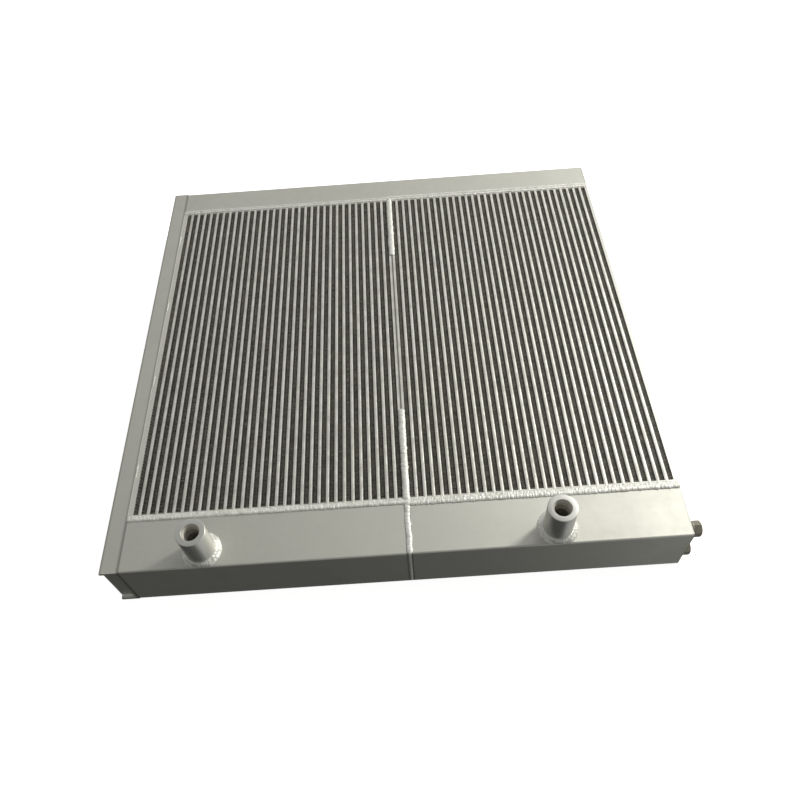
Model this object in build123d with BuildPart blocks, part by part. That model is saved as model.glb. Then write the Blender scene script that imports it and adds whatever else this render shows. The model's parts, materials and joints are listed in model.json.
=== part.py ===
from build123d import *

import math
import os

# Hydraulic oil cooler of the bar-and-plate kind, lying flat with its ports on top.
# Two brazed aluminium cores stand side by side. Air passes through them along Z.
# Oil enters a box tank at the front, runs back through one core to the return tank,
# and comes forward through the other core to the second front tank.
# Millimetres. +X right, +Y to the back, +Z up. The origin is the bottom centre of
# the cooler's outer box.

# ---------------------------------------------------------------- driving sizes
# overall sizes that are not built up from rows
core_length = 744.0            # Y, brazed core between the tanks
tank_height = 104.0            # Z, tanks and side channel
core_recess = 1.0              # the core's faces lie this far inside the tanks' faces

# core rows, stacked along X
left_air_rows = 32
right_air_rows = 31
air_gap = 8.0                  # X, height of an air passage
oil_gap = 4.0                  # X, height of an oil passage
parting_sheet = 0.8            # X, thickness
header_bar_length = 12.0       # Y, bars that close the ends of the air passages
oil_bar_depth = 8.0            # Z, bars that close the faces of the oil passages
left_edge_plate = 8.0          # X, outer plate of the left core
right_edge_plate = 6.0         # X, outer plate of the right core
seam_plate = 5.7               # X, inner plate of either core, two meet at the seam

# fins
fin_setback = 1.5              # Z, air fins stop this far inside the core's faces
air_fin_sheet = 0.6            # thickness measured along X
air_fin_fold = 24.0            # Y, target length of one fold
turbulator_sheet = 0.4         # thickness measured along X
turbulator_fold = 6.0          # Z, target length of one fold

# tanks
port_tank_depth = 85.0         # Y
return_tank_depth = 57.0       # Y
tank_wall = 5.0
tank_corner = 3.0              # outer corner radius of the tank profile
end_plate = 6.0
divider_plate = 6.0

# side channel
channel_width = 28.0           # X
channel_wall = 5.0
channel_end_plate = 5.0        # Y
channel_end_recess = 6.0       # Y, end plates lie this far inside the channel's ends
channel_end_fillet_leg = 4.0

# oil port bosses
boss_radius = 22.5
boss_height = 65.0
boss_setback = 27.5            # Y, boss axis behind the front face
left_boss_from_channel = 126.0     # X, boss axis from the channel's inner side
right_boss_from_right_end = 201.0  # X, boss axis from the right end
port_thread_radius = 12.06     # G3/4 minor radius
port_thread_length = 20.0
port_mouth_bevel = 1.94        # the mouth opens by this much in radius
port_mouth_depth = 2.0
port_passage_radius = 11.0     # plain bore below the thread
boss_edge_chamfer = 1.0

# screw plugs at the right end of the front tank
plug_front_margin = 2.0        # Y, bung clear of the tank's front wall
plug_top_margin = 1.5          # Z, upper bung clear of the tank's top wall
plug_bottom_margin = 1.5       # Z, lower bung clear of the tank's bottom wall
bung_wall = 4.17
bung_length = 16.0
bung_proud = 2.0
bung_clearance = 0.1
plug_shank_radius = 8.28
plug_thread_length = 12.0
plug_running_clearance = 0.05
hex_across_flats = 22.0
hex_height = 11.0
hex_corner_bevel = 1.5
collar_radius = 12.0
collar_height = 3.0
seal_clearance = 0.32          # between the seal and the plug's shank
seal_width = 3.2
seal_thickness = 2.0
seat_gap = 0.02

# weld beads
tank_bead_over_tank = 4.0      # Y, bead on the tank's side of the joint
tank_bead_over_core = 6.0      # Y, bead on the core's side of the joint
tank_bead_proud = 2.4          # Z
seam_bead_margin = 0.7         # X, inner side plate left bare beside the bead
seam_bead_proud = 1.6
near_stitch_length = 168.0     # Y, from the header bars
far_stitch_length = 166.0      # Y, from the header bars
divider_bead_overlap = 1.0     # X, bead over the tank on either side of the divider
divider_bead_proud = 1.4
boss_fillet_leg = 10.0
boss_fillet_rise = 8.0
bung_fillet_leg = 2.5
channel_tack_length = 22.0
channel_tack_width = 4.0
channel_tack_count = 4

# ---------------------------------------------------------------- sizes that follow
port_mouth_radius = port_thread_radius + port_mouth_bevel
bung_bore_radius = plug_shank_radius + plug_running_clearance
bung_radius = bung_bore_radius + bung_wall
seal_inner_radius = plug_shank_radius + seal_clearance
seal_outer_radius = seal_inner_radius + seal_width
seam_bead_width = 2 * (seam_plate - seam_bead_margin)
divider_bead_width = divider_plate + 2 * divider_bead_overlap

# ---------------------------------------------------------------- places along X
row_pitch = air_gap + oil_gap + 2 * parting_sheet
left_stack = left_air_rows * row_pitch - (row_pitch - air_gap)
right_stack = right_air_rows * row_pitch - (row_pitch - air_gap)
head_reach = bung_proud + seal_thickness + 2 * seat_gap + collar_height + hex_height
body_width = (channel_width + left_edge_plate + left_stack + 2 * seam_plate
              + right_stack + right_edge_plate)

x_left = -(body_width + head_reach) / 2
x_tank = x_left + channel_width
x_left_rows = x_tank + left_edge_plate
x_left_rows_end = x_left_rows + left_stack
x_seam = x_left_rows_end + seam_plate
x_right_rows = x_seam + seam_plate
x_right_rows_end = x_right_rows + right_stack
x_right = x_right_rows_end + right_edge_plate

# ---------------------------------------------------------------- places along Y
body_length = port_tank_depth + core_length + return_tank_depth
y_front = -(body_length - divider_bead_proud) / 2
y_core = y_front + port_tank_depth
y_core_end = y_core + core_length
y_back = y_core_end + return_tank_depth
y_fin = y_core + header_bar_length
y_fin_end = y_core_end - header_bar_length
y_core_middle = (y_core + y_core_end) / 2
y_boss = y_front + boss_setback
y_plug = y_front + tank_wall + bung_radius + plug_front_margin

# ---------------------------------------------------------------- places along Z
z_core = core_recess
z_core_top = tank_height - core_recess
core_depth = z_core_top - z_core
z_upper_plug = tank_height - tank_wall - bung_radius - plug_top_margin
z_lower_plug = tank_wall + bung_radius + plug_bottom_margin

x_left_boss = x_tank + left_boss_from_channel
x_right_boss = x_right - right_boss_from_right_end

os.makedirs("parts", exist_ok=True)


def save(node: str, part: Part) -> None:
    """Label a finished piece and write it as its own STEP file."""
    part.label = node
    export_step(part, f"parts/{node}.step")


def folded_strip(length: float, height: float, sheet: float, fold: float) -> list:
    """Return the outline of a zigzag sheet that runs along the first axis.

    The folds reach from -height/2 to +height/2 along the second axis.
    """
    folds = max(2, round(length / fold))
    reach = (height - sheet) / 2
    line = [(length * (i / folds - 0.5), reach if i % 2 else -reach) for i in range(folds + 1)]
    lower = [(along, across - sheet / 2) for along, across in line]
    upper = [(along, across + sheet / 2) for along, across in reversed(line)]
    return lower + upper


def air_row_centres(first_x: float, rows: int) -> list:
    """Return the X of the middle of each air passage."""
    return [first_x + air_gap / 2 + row_pitch * i for i in range(rows)]


def oil_row_centres(first_x: float, rows: int) -> list:
    """Return the X of the middle of each oil passage between two air passages."""
    return [x + row_pitch / 2 for x in air_row_centres(first_x, rows)[:-1]]


# ---------------------------------------------------------------- the two cores
for side, first_x, rows in (("left", x_left_rows, left_air_rows),
                            ("right", x_right_rows, right_air_rows)):
    air_x = air_row_centres(first_x, rows)
    oil_x = oil_row_centres(first_x, rows)
    sheet_offset = (oil_gap + parting_sheet) / 2
    sheet_x = [x + offset for x in oil_x for offset in (-sheet_offset, sheet_offset)]

    with BuildPart() as parting_sheets:
        with BuildSketch(Plane.XY.offset(z_core)):
            with Locations(*[(x, y_core_middle) for x in sheet_x]):
                Rectangle(parting_sheet, core_length)
        extrude(amount=core_depth)
    save(f"{side}_core_parting_sheets", parting_sheets.part)

    with BuildPart() as oil_bars:
        for z_bar in (z_core, z_core_top - oil_bar_depth):
            with BuildSketch(Plane.XY.offset(z_bar)):
                with Locations(*[(x, y_core_middle) for x in oil_x]):
                    Rectangle(oil_gap, core_length)
            extrude(amount=oil_bar_depth)
    save(f"{side}_core_oil_bars", oil_bars.part)

    with BuildPart() as header_bars:
        with BuildSketch(Plane.XY.offset(z_core)):
            for y_bar in (y_core + header_bar_length / 2, y_core_end - header_bar_length / 2):
                with Locations(*[(x, y_bar) for x in air_x]):
                    Rectangle(air_gap, header_bar_length)
        extrude(amount=core_depth)
    save(f"{side}_core_header_bars", header_bars.part)

    # the fins' folds run along Y and their sheet stands along Z, with the air
    fin_outline = folded_strip(y_fin_end - y_fin, air_gap, air_fin_sheet, air_fin_fold)
    with BuildPart() as air_fins:
        with BuildSketch(Plane.XY.offset(z_core + fin_setback)):
            with Locations(*[Location((x, y_core_middle), 90) for x in air_x]):
                Polygon(*fin_outline, align=None)
        extrude(amount=core_depth - 2 * fin_setback)
    save(f"{side}_core_air_fins", air_fins.part)

    # the turbulators' folds run along Z and their sheet lies along Y, with the oil
    turbulator_height = core_depth - 2 * oil_bar_depth
    turbulator_outline = folded_strip(turbulator_height, oil_gap, turbulator_sheet,
                                      turbulator_fold)
    with BuildPart() as turbulators:
        with BuildSketch(Plane.XZ.offset(-y_core)):
            with Locations(*[Location((x, tank_height / 2), 90) for x in oil_x]):
                Polygon(*turbulator_outline, align=None)
        extrude(amount=-core_length)
    save(f"{side}_core_oil_turbulators", turbulators.part)

for node, plate_x, thickness in (
        ("left_core_outer_side_plate", x_tank, left_edge_plate),
        ("left_core_inner_side_plate", x_left_rows_end, seam_plate),
        ("right_core_inner_side_plate", x_seam, seam_plate),
        ("right_core_outer_side_plate", x_right_rows_end, right_edge_plate)):
    with BuildPart() as side_plate:
        with BuildSketch(Plane.XY.offset(z_core)):
            with Locations((plate_x + thickness / 2, y_core_middle)):
                Rectangle(thickness, core_length)
        extrude(amount=core_depth)
    save(node, side_plate.part)


# ---------------------------------------------------------------- tanks
def tank_profile(near_y: float, far_y: float, closed_side: float) -> None:
    """Draw a tank's outer profile in the YZ sketch in hand, with its closed side rounded.

    closed_side is the Y of the side that carries the two rounded corners.
    """
    depth = far_y - near_y
    with Locations(((near_y + far_y) / 2, tank_height / 2)):
        outline = Rectangle(depth, tank_height)
    corners = [v for v in outline.vertices() if abs(v.X - closed_side) < depth / 4]
    fillet(corners, radius=tank_corner)


def tank_hollow(near_y: float, far_y: float, mode: Mode = Mode.ADD) -> None:
    """Draw a tank's hollow, between its walls, in the YZ sketch in hand."""
    with Locations(((near_y + far_y) / 2, tank_height / 2)):
        Rectangle(far_y - near_y, tank_height - 2 * tank_wall, mode=mode)


front_span = (y_front, y_core, y_front)
front_hollow = (y_front + tank_wall, y_core)
back_span = (y_core_end, y_back, y_back)
back_hollow = (y_core_end, y_back - tank_wall)

for node, x_from, x_to, span, hollow, boss_x in (
        ("left_port_tank_shell", x_tank, x_seam - divider_plate / 2,
         front_span, front_hollow, x_left_boss),
        ("right_port_tank_shell", x_seam + divider_plate / 2, x_right,
         front_span, front_hollow, x_right_boss),
        ("return_tank_shell", x_tank, x_right, back_span, back_hollow, None)):
    with BuildPart() as tank_shell:
        with BuildSketch(Plane.YZ.offset(x_from)):
            tank_profile(*span)
            tank_hollow(*hollow, mode=Mode.SUBTRACT)
        extrude(amount=x_to - x_from)
        if boss_x is not None:
            with Locations((boss_x, y_boss, tank_height - tank_wall)):
                Cylinder(port_passage_radius, tank_wall, mode=Mode.SUBTRACT,
                         align=(Align.CENTER, Align.CENTER, Align.MIN))
    save(node, tank_shell.part)

with BuildPart() as port_tank_divider:
    with BuildSketch(Plane.YZ.offset(x_seam - divider_plate / 2)):
        tank_profile(*front_span)
    extrude(amount=divider_plate)
save("port_tank_divider", port_tank_divider.part)

for node, plate_x, hollow in (
        ("port_tank_left_end", x_tank, front_hollow),
        ("return_tank_left_end", x_tank, back_hollow),
        ("return_tank_right_end", x_right - end_plate, back_hollow)):
    with BuildPart() as end:
        with BuildSketch(Plane.YZ.offset(plate_x)):
            tank_hollow(*hollow)
        extrude(amount=end_plate)
    save(node, end.part)

plug_places = ((y_plug, z_upper_plug), (y_plug, z_lower_plug))

with BuildPart() as port_tank_right_end:
    with BuildSketch(Plane.YZ.offset(x_right - end_plate)):
        tank_hollow(*front_hollow)
        with Locations(*plug_places):
            Circle(bung_radius + bung_clearance, mode=Mode.SUBTRACT)
    extrude(amount=end_plate)
save("port_tank_right_end", port_tank_right_end.part)

# ---------------------------------------------------------------- side channel
# a C profile whose mouth faces outwards, with its web against the tanks and core
with BuildPart() as left_side_channel:
    with BuildSketch(Plane.XZ.offset(-y_front)):
        with Locations((x_left + channel_width / 2, tank_height / 2)):
            Rectangle(channel_width, tank_height)
        with Locations((x_left + (channel_width - channel_wall) / 2, tank_height / 2)):
            Rectangle(channel_width - channel_wall, tank_height - 2 * channel_wall,
                      mode=Mode.SUBTRACT)
    extrude(amount=-body_length)
save("left_side_channel", left_side_channel.part)

# a plate closes each end of the channel, with a fillet along both flanges outside it
channel_inside_x = (x_left, x_tank - channel_wall)
channel_inside_z = (channel_wall, tank_height - channel_wall)
y_near_end_plate = y_front + channel_end_recess
y_far_end_plate = y_back - channel_end_recess
channel_ends = (("channel_near_end_plate", y_near_end_plate, 1),
                ("channel_far_end_plate", y_far_end_plate, -1))
for node, y_outer_face, inward in channel_ends:
    with BuildPart() as end:
        with BuildSketch(Plane.XZ.offset(-y_outer_face)):
            with Locations((sum(channel_inside_x) / 2, tank_height / 2)):
                Rectangle(channel_width - channel_wall, tank_height - 2 * channel_wall)
        extrude(amount=-inward * channel_end_plate)
    save(node, end.part)

with BuildPart() as channel_end_welds:
    with BuildSketch(Plane.YZ.offset(channel_inside_x[0])):
        for node, y_outer_face, inward in channel_ends:
            for z_flange, towards_middle in zip(channel_inside_z, (1, -1)):
                with BuildLine():
                    Polyline((y_outer_face, z_flange),
                             (y_outer_face - inward * channel_end_fillet_leg, z_flange),
                             (y_outer_face, z_flange + towards_middle * channel_end_fillet_leg),
                             close=True)
                make_face()
    extrude(amount=channel_inside_x[1] - channel_inside_x[0])
save("channel_end_welds", channel_end_welds.part)

# ---------------------------------------------------------------- port bosses
for node, boss_x in (("left_port_boss", x_left_boss), ("right_port_boss", x_right_boss)):
    z_boss_top = tank_height + boss_height
    with BuildPart() as boss:
        with BuildSketch(Plane.XZ.offset(-y_boss)):
            with BuildLine():
                Polyline((boss_x + port_passage_radius, tank_height),
                         (boss_x + boss_radius, tank_height),
                         (boss_x + boss_radius, z_boss_top - boss_edge_chamfer),
                         (boss_x + boss_radius - boss_edge_chamfer, z_boss_top),
                         (boss_x + port_mouth_radius, z_boss_top),
                         (boss_x + port_thread_radius, z_boss_top - port_mouth_depth),
                         (boss_x + port_thread_radius,
                          z_boss_top - port_mouth_depth - port_thread_length),
                         (boss_x + port_passage_radius,
                          z_boss_top - port_mouth_depth - port_thread_length),
                         (boss_x + port_passage_radius, tank_height))
            make_face()
        revolve(axis=Axis((boss_x, y_boss, 0), (0, 0, 1)))
    save(node, boss.part)

    # the fillet round the boss's foot, cut off level with the tank's front face
    with BuildPart() as boss_weld:
        with BuildSketch(Plane.XZ.offset(-y_boss)):
            with BuildLine():
                Polyline((boss_x + boss_radius, tank_height),
                         (boss_x + boss_radius + boss_fillet_leg, tank_height),
                         (boss_x + boss_radius, tank_height + boss_fillet_rise),
                         close=True)
            make_face()
        revolve(axis=Axis((boss_x, y_boss, 0), (0, 0, 1)))
        split(bisect_by=Plane.XZ.offset(-y_front - tank_corner), keep=Keep.BOTTOM)
    save(node.replace("boss", "boss_weld"), boss_weld.part)

# ---------------------------------------------------------------- screw plugs
for node, place_z in (("upper", z_upper_plug), ("lower", z_lower_plug)):
    x_bung = x_right + bung_proud - bung_length
    x_seal = x_right + bung_proud + seat_gap
    x_collar = x_seal + seal_thickness + seat_gap
    x_hex = x_collar + collar_height

    with BuildPart() as bung:
        with BuildSketch(Plane.YZ.offset(x_bung)):
            with Locations((y_plug, place_z)):
                Circle(bung_radius)
                Circle(bung_bore_radius, mode=Mode.SUBTRACT)
        extrude(amount=bung_length)
    save(f"{node}_plug_bung", bung.part)

    with BuildPart() as seal:
        with BuildSketch(Plane.YZ.offset(x_seal)):
            with Locations((y_plug, place_z)):
                Circle(seal_outer_radius)
                Circle(seal_inner_radius, mode=Mode.SUBTRACT)
        extrude(amount=seal_thickness)
    save(f"{node}_plug_seal", seal.part)

    with BuildPart() as plug:
        with BuildSketch(Plane.YZ.offset(x_hex)):
            with Locations((y_plug, place_z)):
                RegularPolygon(hex_across_flats / 2, 6, major_radius=False)
        extrude(amount=hex_height)
        # the hexagon's outer corners are turned off at 30 degrees
        across_corners = hex_across_flats / math.cos(math.radians(30)) / 2
        with BuildSketch(Plane.XY.offset(place_z), mode=Mode.PRIVATE) as corner_cut:
            with BuildLine():
                Polyline((x_hex + hex_height, y_plug + across_corners - hex_corner_bevel),
                         (x_hex + hex_height, y_plug + 2 * across_corners),
                         (x_hex, y_plug + 2 * across_corners),
                         (x_hex + hex_height - hex_corner_bevel, y_plug + across_corners + 1),
                         close=True)
            make_face()
        revolve(corner_cut.sketch, axis=Axis((x_hex, y_plug, place_z), (1, 0, 0)),
                mode=Mode.SUBTRACT)
        with BuildSketch(Plane.YZ.offset(x_collar)):
            with Locations((y_plug, place_z)):
                Circle(collar_radius)
        extrude(amount=collar_height)
        with BuildSketch(Plane.YZ.offset(x_collar)):
            with Locations((y_plug, place_z)):
                Circle(plug_shank_radius)
        extrude(amount=-(plug_thread_length + seal_thickness + 2 * seat_gap))
    save(f"{node}_plug", plug.part)

with BuildPart() as bung_welds:
    for place_z in (z_upper_plug, z_lower_plug):
        with BuildSketch(Plane.XY.offset(place_z)):
            with BuildLine():
                Polyline((x_right, y_plug + bung_radius + bung_clearance),
                         (x_right, y_plug + bung_radius + bung_fillet_leg),
                         (x_right + bung_proud - 0.4, y_plug + bung_radius + bung_clearance),
                         close=True)
            make_face()
        revolve(axis=Axis((x_right, y_plug, place_z), (1, 0, 0)))
save("plug_bung_welds", bung_welds.part)

# ---------------------------------------------------------------- weld beads
# on the upper face the beads stand proud, and on the lower face they fill the step
# between core and tank, level with the tank's bottom
for node, joint_y, to_core in (("port_tank_core_welds", y_core, 1),
                               ("return_tank_core_welds", y_core_end, -1)):
    bead_far = joint_y + to_core * tank_bead_over_core
    bead_near = joint_y - to_core * tank_bead_over_tank
    with BuildPart() as tank_beads:
        with BuildSketch(Plane.YZ.offset(x_tank)):
            with BuildLine():
                Polyline((bead_near, tank_height),
                         (joint_y, tank_height),
                         (joint_y, z_core_top),
                         (bead_far, z_core_top),
                         (bead_far - to_core, tank_height + tank_bead_proud / 2),
                         (joint_y, tank_height + tank_bead_proud),
                         (bead_near + to_core, tank_height + tank_bead_proud / 2),
                         close=True)
            make_face()
            with Locations(((joint_y + bead_far) / 2, core_recess / 2)):
                Rectangle(tank_bead_over_core, core_recess)
        extrude(amount=x_right - x_tank)
    save(node, tank_beads.part)

stitches = ((y_core + tank_bead_over_core, y_fin + near_stitch_length),
            (y_fin_end - far_stitch_length, y_core_end - tank_bead_over_core))

with BuildPart() as centre_seam_welds:
    for z_stitch, stitch_height in ((z_core_top, seam_bead_proud), (0, core_recess)):
        with BuildSketch(Plane.XY.offset(z_stitch)):
            for y_start, y_end in stitches:
                with Locations((x_seam, (y_start + y_end) / 2)):
                    Rectangle(seam_bead_width, y_end - y_start)
        extrude(amount=stitch_height)
save("centre_seam_welds", centre_seam_welds.part)

# one bead follows the divider's edge over the tank's top and down its front
with BuildPart() as divider_seam_weld:
    with BuildSketch(Plane.XY.offset(tank_height)):
        y_bead_end = y_core - tank_bead_over_tank
        with Locations((x_seam, (y_front + tank_corner + y_bead_end) / 2)):
            Rectangle(divider_bead_width, y_bead_end - y_front - tank_corner)
    extrude(amount=divider_bead_proud)
    with BuildSketch(Plane.XZ.offset(-y_front)):
        with Locations((x_seam, tank_height / 2)):
            Rectangle(divider_bead_width, tank_height - 2 * tank_corner)
    extrude(amount=divider_bead_proud)
save("divider_seam_weld", divider_seam_weld.part)

# short fillets hold the channel's web to the left core, in the step that the recessed
# core leaves beside the web on the upper and lower faces
tack_spacing = core_length / channel_tack_count
with BuildPart() as channel_tacks:
    for i in range(channel_tack_count):
        with BuildSketch(Plane.XZ.offset(-(y_core + tack_spacing * (i + 0.5)))):
            for z_step, z_flange in ((z_core_top, tank_height), (z_core, 0)):
                with BuildLine():
                    Polyline((x_tank, z_step), (x_tank + channel_tack_width, z_step),
                             (x_tank, z_flange), close=True)
                make_face()
        extrude(amount=channel_tack_length / 2, both=True)
save("channel_tack_welds", channel_tacks.part)
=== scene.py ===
"""Looks of a bar-and-plate hydraulic oil cooler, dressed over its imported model.

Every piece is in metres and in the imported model's own frame: +X to the right, +Y to
the back, +Z up. Sizes and places come from the model's nodes, so a piece lies where
its node lies. Each sub-assembly is a class with its sizes as fields, and each finish
is a small frozen class that makes one procedural material.
"""

from __future__ import annotations

import json
import logging
import math
from dataclasses import dataclass, replace
from enum import Enum
from typing import Iterable, NamedTuple, Optional, Sequence

import bmesh
import bpy
from mathutils import Euler, Matrix, Vector

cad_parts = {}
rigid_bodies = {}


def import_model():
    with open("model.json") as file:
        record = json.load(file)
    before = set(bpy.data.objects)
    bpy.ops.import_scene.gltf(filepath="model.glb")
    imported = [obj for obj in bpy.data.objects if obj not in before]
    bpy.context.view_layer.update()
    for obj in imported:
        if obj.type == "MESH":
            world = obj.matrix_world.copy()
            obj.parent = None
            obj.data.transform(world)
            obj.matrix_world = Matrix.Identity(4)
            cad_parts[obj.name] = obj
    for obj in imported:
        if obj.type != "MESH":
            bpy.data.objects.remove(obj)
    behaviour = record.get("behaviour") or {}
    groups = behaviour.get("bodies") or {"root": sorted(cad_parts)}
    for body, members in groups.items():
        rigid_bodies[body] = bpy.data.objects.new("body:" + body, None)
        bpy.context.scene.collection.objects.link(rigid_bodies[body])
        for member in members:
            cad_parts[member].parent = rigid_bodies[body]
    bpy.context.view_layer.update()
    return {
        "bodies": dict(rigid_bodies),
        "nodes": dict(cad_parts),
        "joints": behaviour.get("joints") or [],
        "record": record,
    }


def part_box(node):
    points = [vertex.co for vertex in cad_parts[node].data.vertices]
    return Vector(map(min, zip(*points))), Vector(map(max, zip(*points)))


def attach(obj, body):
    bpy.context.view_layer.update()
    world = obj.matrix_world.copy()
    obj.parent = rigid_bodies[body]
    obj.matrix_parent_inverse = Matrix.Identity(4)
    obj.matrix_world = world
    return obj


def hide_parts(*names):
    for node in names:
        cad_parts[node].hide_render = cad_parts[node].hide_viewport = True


LOG = logging.getLogger("oil_cooler")
MM = 0.001
BODY = "cooler_body"
Point = tuple[float, float, float]
Outline = list[tuple[float, float]]


class Slot(str, Enum):
    """The record's material slots."""

    SHEET = "satin_sheet"
    BAR = "core_bar"
    FIN = "air_fin"
    INNER = "inner_sheet"
    BOSS = "machined_boss"
    WELD = "weld_bead"
    PLUG = "plug_steel"
    SEAL = "seal_ring"


class Side(str, Enum):
    """The two cores."""

    LEFT = "left"
    RIGHT = "right"


class Level(str, Enum):
    """The two screw plugs, by height."""

    UPPER = "upper"
    LOWER = "lower"


# ------------------------------------------------------------------ node tree helpers
class NodeBuilder:
    """Adds and links nodes in one node tree."""

    def __init__(self, tree: bpy.types.NodeTree) -> None:
        """Keep the tree that nodes are added to.

        Args:
            tree: A shader or geometry node tree.
        """
        self.tree = tree

    def add(self, kind: str, inputs: Optional[dict] = None, **settings: object) -> bpy.types.Node:
        """Add a node, set its properties and fill or link its inputs.

        Args:
            kind: The node's type name.
            inputs: Input name or index to a value or to another node's output.
            **settings: Properties of the node itself.

        Returns:
            The new node.
        """
        node = self.tree.nodes.new(kind)
        for name, value in settings.items():
            setattr(node, name, value)
        for key, value in (inputs or {}).items():
            self.feed(node.inputs[key], value)
        return node

    def feed(self, socket: bpy.types.NodeSocket, value: object) -> None:
        """Link an output to a socket, or set the socket's own value."""
        if isinstance(value, bpy.types.NodeSocket):
            self.tree.links.new(value, socket)
        else:
            socket.default_value = value

    def math(self, operation: str, first: object, second: object = 0.0,
             third: object = 0.5) -> bpy.types.NodeSocket:
        """Add a Math node and return its result."""
        node = self.add("ShaderNodeMath", {0: first, 1: second, 2: third},
                        operation=operation)
        return node.outputs[0]

    def vector_math(self, operation: str, first: object,
                    second: object) -> bpy.types.NodeSocket:
        """Add a Vector Math node and return its vector result."""
        node = self.add("ShaderNodeVectorMath", {0: first, 1: second}, operation=operation)
        return node.outputs["Vector"]

    def scaled(self, vector: object, factor: object) -> bpy.types.NodeSocket:
        """Multiply a vector by a number."""
        node = self.add("ShaderNodeVectorMath", {0: vector, "Scale": factor},
                        operation="SCALE")
        return node.outputs["Vector"]

    def split(self, vector: object) -> Sequence[bpy.types.NodeSocket]:
        """Return a vector's X, Y and Z."""
        return self.add("ShaderNodeSeparateXYZ", {0: vector}).outputs

    def mix(self, factor: object, first: object, second: object) -> bpy.types.NodeSocket:
        """Mix two colours, each an output or a plain red, green and blue."""
        first, second = (side if isinstance(side, bpy.types.NodeSocket) else (*side, 1)
                         for side in (first, second))
        node = self.add("ShaderNodeMix", {"Factor": factor, 6: first, 7: second},
                        data_type="RGBA")
        return node.outputs[2]

    def blend(self, factor: object, first: object, second: object) -> bpy.types.NodeSocket:
        """Mix two numbers."""
        node = self.add("ShaderNodeMix", {"Factor": factor, 2: first, 3: second},
                        data_type="FLOAT")
        return node.outputs[0]

    def use(self, group: bpy.types.NodeTree,
            inputs: Optional[dict] = None) -> bpy.types.NodeSocket:
        """Place a shader group with its own values and return its result."""
        return self.add("ShaderNodeGroup", inputs, node_tree=group).outputs[0]

    def ramp(self, value: object, low: object, high: object,
             to_low: float = 0.0, to_high: float = 1.0) -> bpy.types.NodeSocket:
        """Map a value smoothly from low..high to to_low..to_high."""
        node = self.add("ShaderNodeMapRange",
                        {"Value": value, "From Min": low, "From Max": high,
                         "To Min": to_low, "To Max": to_high},
                        interpolation_type="SMOOTHSTEP")
        return node.outputs["Result"]


class ShaderGroup(NodeBuilder):
    """A shader node group with named inputs and outputs."""

    def __init__(self, name: str, inputs: dict[str, tuple[str, object]],
                 outputs: dict[str, str]) -> None:
        """Make the group and its sockets.

        Args:
            name: The group's name.
            inputs: Input name to its socket type and default value.
            outputs: Output name to its socket type.
        """
        super().__init__(bpy.data.node_groups.new(name, "ShaderNodeTree"))
        for label, (kind, default) in inputs.items():
            socket = self.tree.interface.new_socket(label, in_out="INPUT", socket_type=kind)
            socket.default_value = default
        for label, kind in outputs.items():
            self.tree.interface.new_socket(label, in_out="OUTPUT", socket_type=kind)
        self.given = self.tree.nodes.new("NodeGroupInput").outputs
        self.results = self.tree.nodes.new("NodeGroupOutput").inputs

    def give(self, name: str, value: bpy.types.NodeSocket) -> None:
        """Connect a value to one of the group's outputs."""
        self.tree.links.new(value, self.results[name])


class GeometryRule(NodeBuilder):
    """A geometry node tree that is run once and turned into a plain mesh."""

    def __init__(self, name: str) -> None:
        """Make an empty rule with one geometry in and one out.

        Args:
            name: The tree's name.
        """
        super().__init__(bpy.data.node_groups.new(name, "GeometryNodeTree"))
        for way in ("INPUT", "OUTPUT"):
            self.tree.interface.new_socket("Geometry", in_out=way,
                                           socket_type="NodeSocketGeometry")
        self.start = self.tree.nodes.new("NodeGroupInput")
        self.end = self.tree.nodes.new("NodeGroupOutput")

    def size(self, name: str, kind: str, default: object = None) -> bpy.types.NodeSocket:
        """Declare a named input of the rule.

        Args:
            name: The input's name.
            kind: The socket type's last word, such as Float or Vector.
            default: The value used when none is given.

        Returns:
            The output that carries the input into the tree.
        """
        socket = self.tree.interface.new_socket(name, in_out="INPUT",
                                                socket_type=f"NodeSocket{kind}")
        if default is not None:
            socket.default_value = default
        return self.start.outputs[name]

    def close(self, geometry: bpy.types.NodeSocket, material: bpy.types.NodeSocket) -> None:
        """End the tree in Realize Instances and Set Material."""
        real = self.add("GeometryNodeRealizeInstances", {"Geometry": geometry})
        dressed = self.add("GeometryNodeSetMaterial",
                           {"Geometry": real.outputs["Geometry"], "Material": material})
        self.tree.links.new(dressed.outputs["Geometry"], self.end.inputs["Geometry"])

    def run(self, base: bpy.types.Mesh, name: str, sizes: dict[str, object]) -> bpy.types.Object:
        """Apply the rule to a mesh and keep the result as a plain mesh object.

        Args:
            base: The mesh that enters the tree.
            name: The new piece's name.
            sizes: Input name to its value.

        Returns:
            The finished piece, with no modifier.
        """
        host = bpy.data.objects.new(f"{name}_host", base)
        bpy.context.scene.collection.objects.link(host)
        modifier = host.modifiers.new("rule", "NODES")
        modifier.node_group = self.tree
        for item in self.tree.interface.items_tree:
            if item.in_out == "INPUT" and item.name in sizes:
                modifier[item.identifier] = sizes[item.name]
        bpy.context.view_layer.update()
        seen = host.evaluated_get(bpy.context.evaluated_depsgraph_get())
        mesh = bpy.data.meshes.new_from_object(seen)
        bpy.data.objects.remove(host)
        bpy.data.meshes.remove(base)
        mesh.name = name
        return place(name, mesh)


# ------------------------------------------------------------------ mesh helpers
def place(name: str, mesh: bpy.types.Mesh) -> bpy.types.Object:
    """Put a mesh in the scene as an object at the origin."""
    piece = bpy.data.objects.new(name, mesh)
    bpy.context.scene.collection.objects.link(piece)
    return piece


def mesh_of(name: str, points: Sequence[Sequence[float]], faces: Sequence[Sequence[int]],
            edges: Sequence[Sequence[int]] = ()) -> bpy.types.Mesh:
    """Make a mesh from points, edges and faces."""
    mesh = bpy.data.meshes.new(name)
    mesh.from_pydata([tuple(p) for p in points], [tuple(e) for e in edges],
                     [tuple(f) for f in faces])
    mesh.update()
    return mesh


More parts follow.
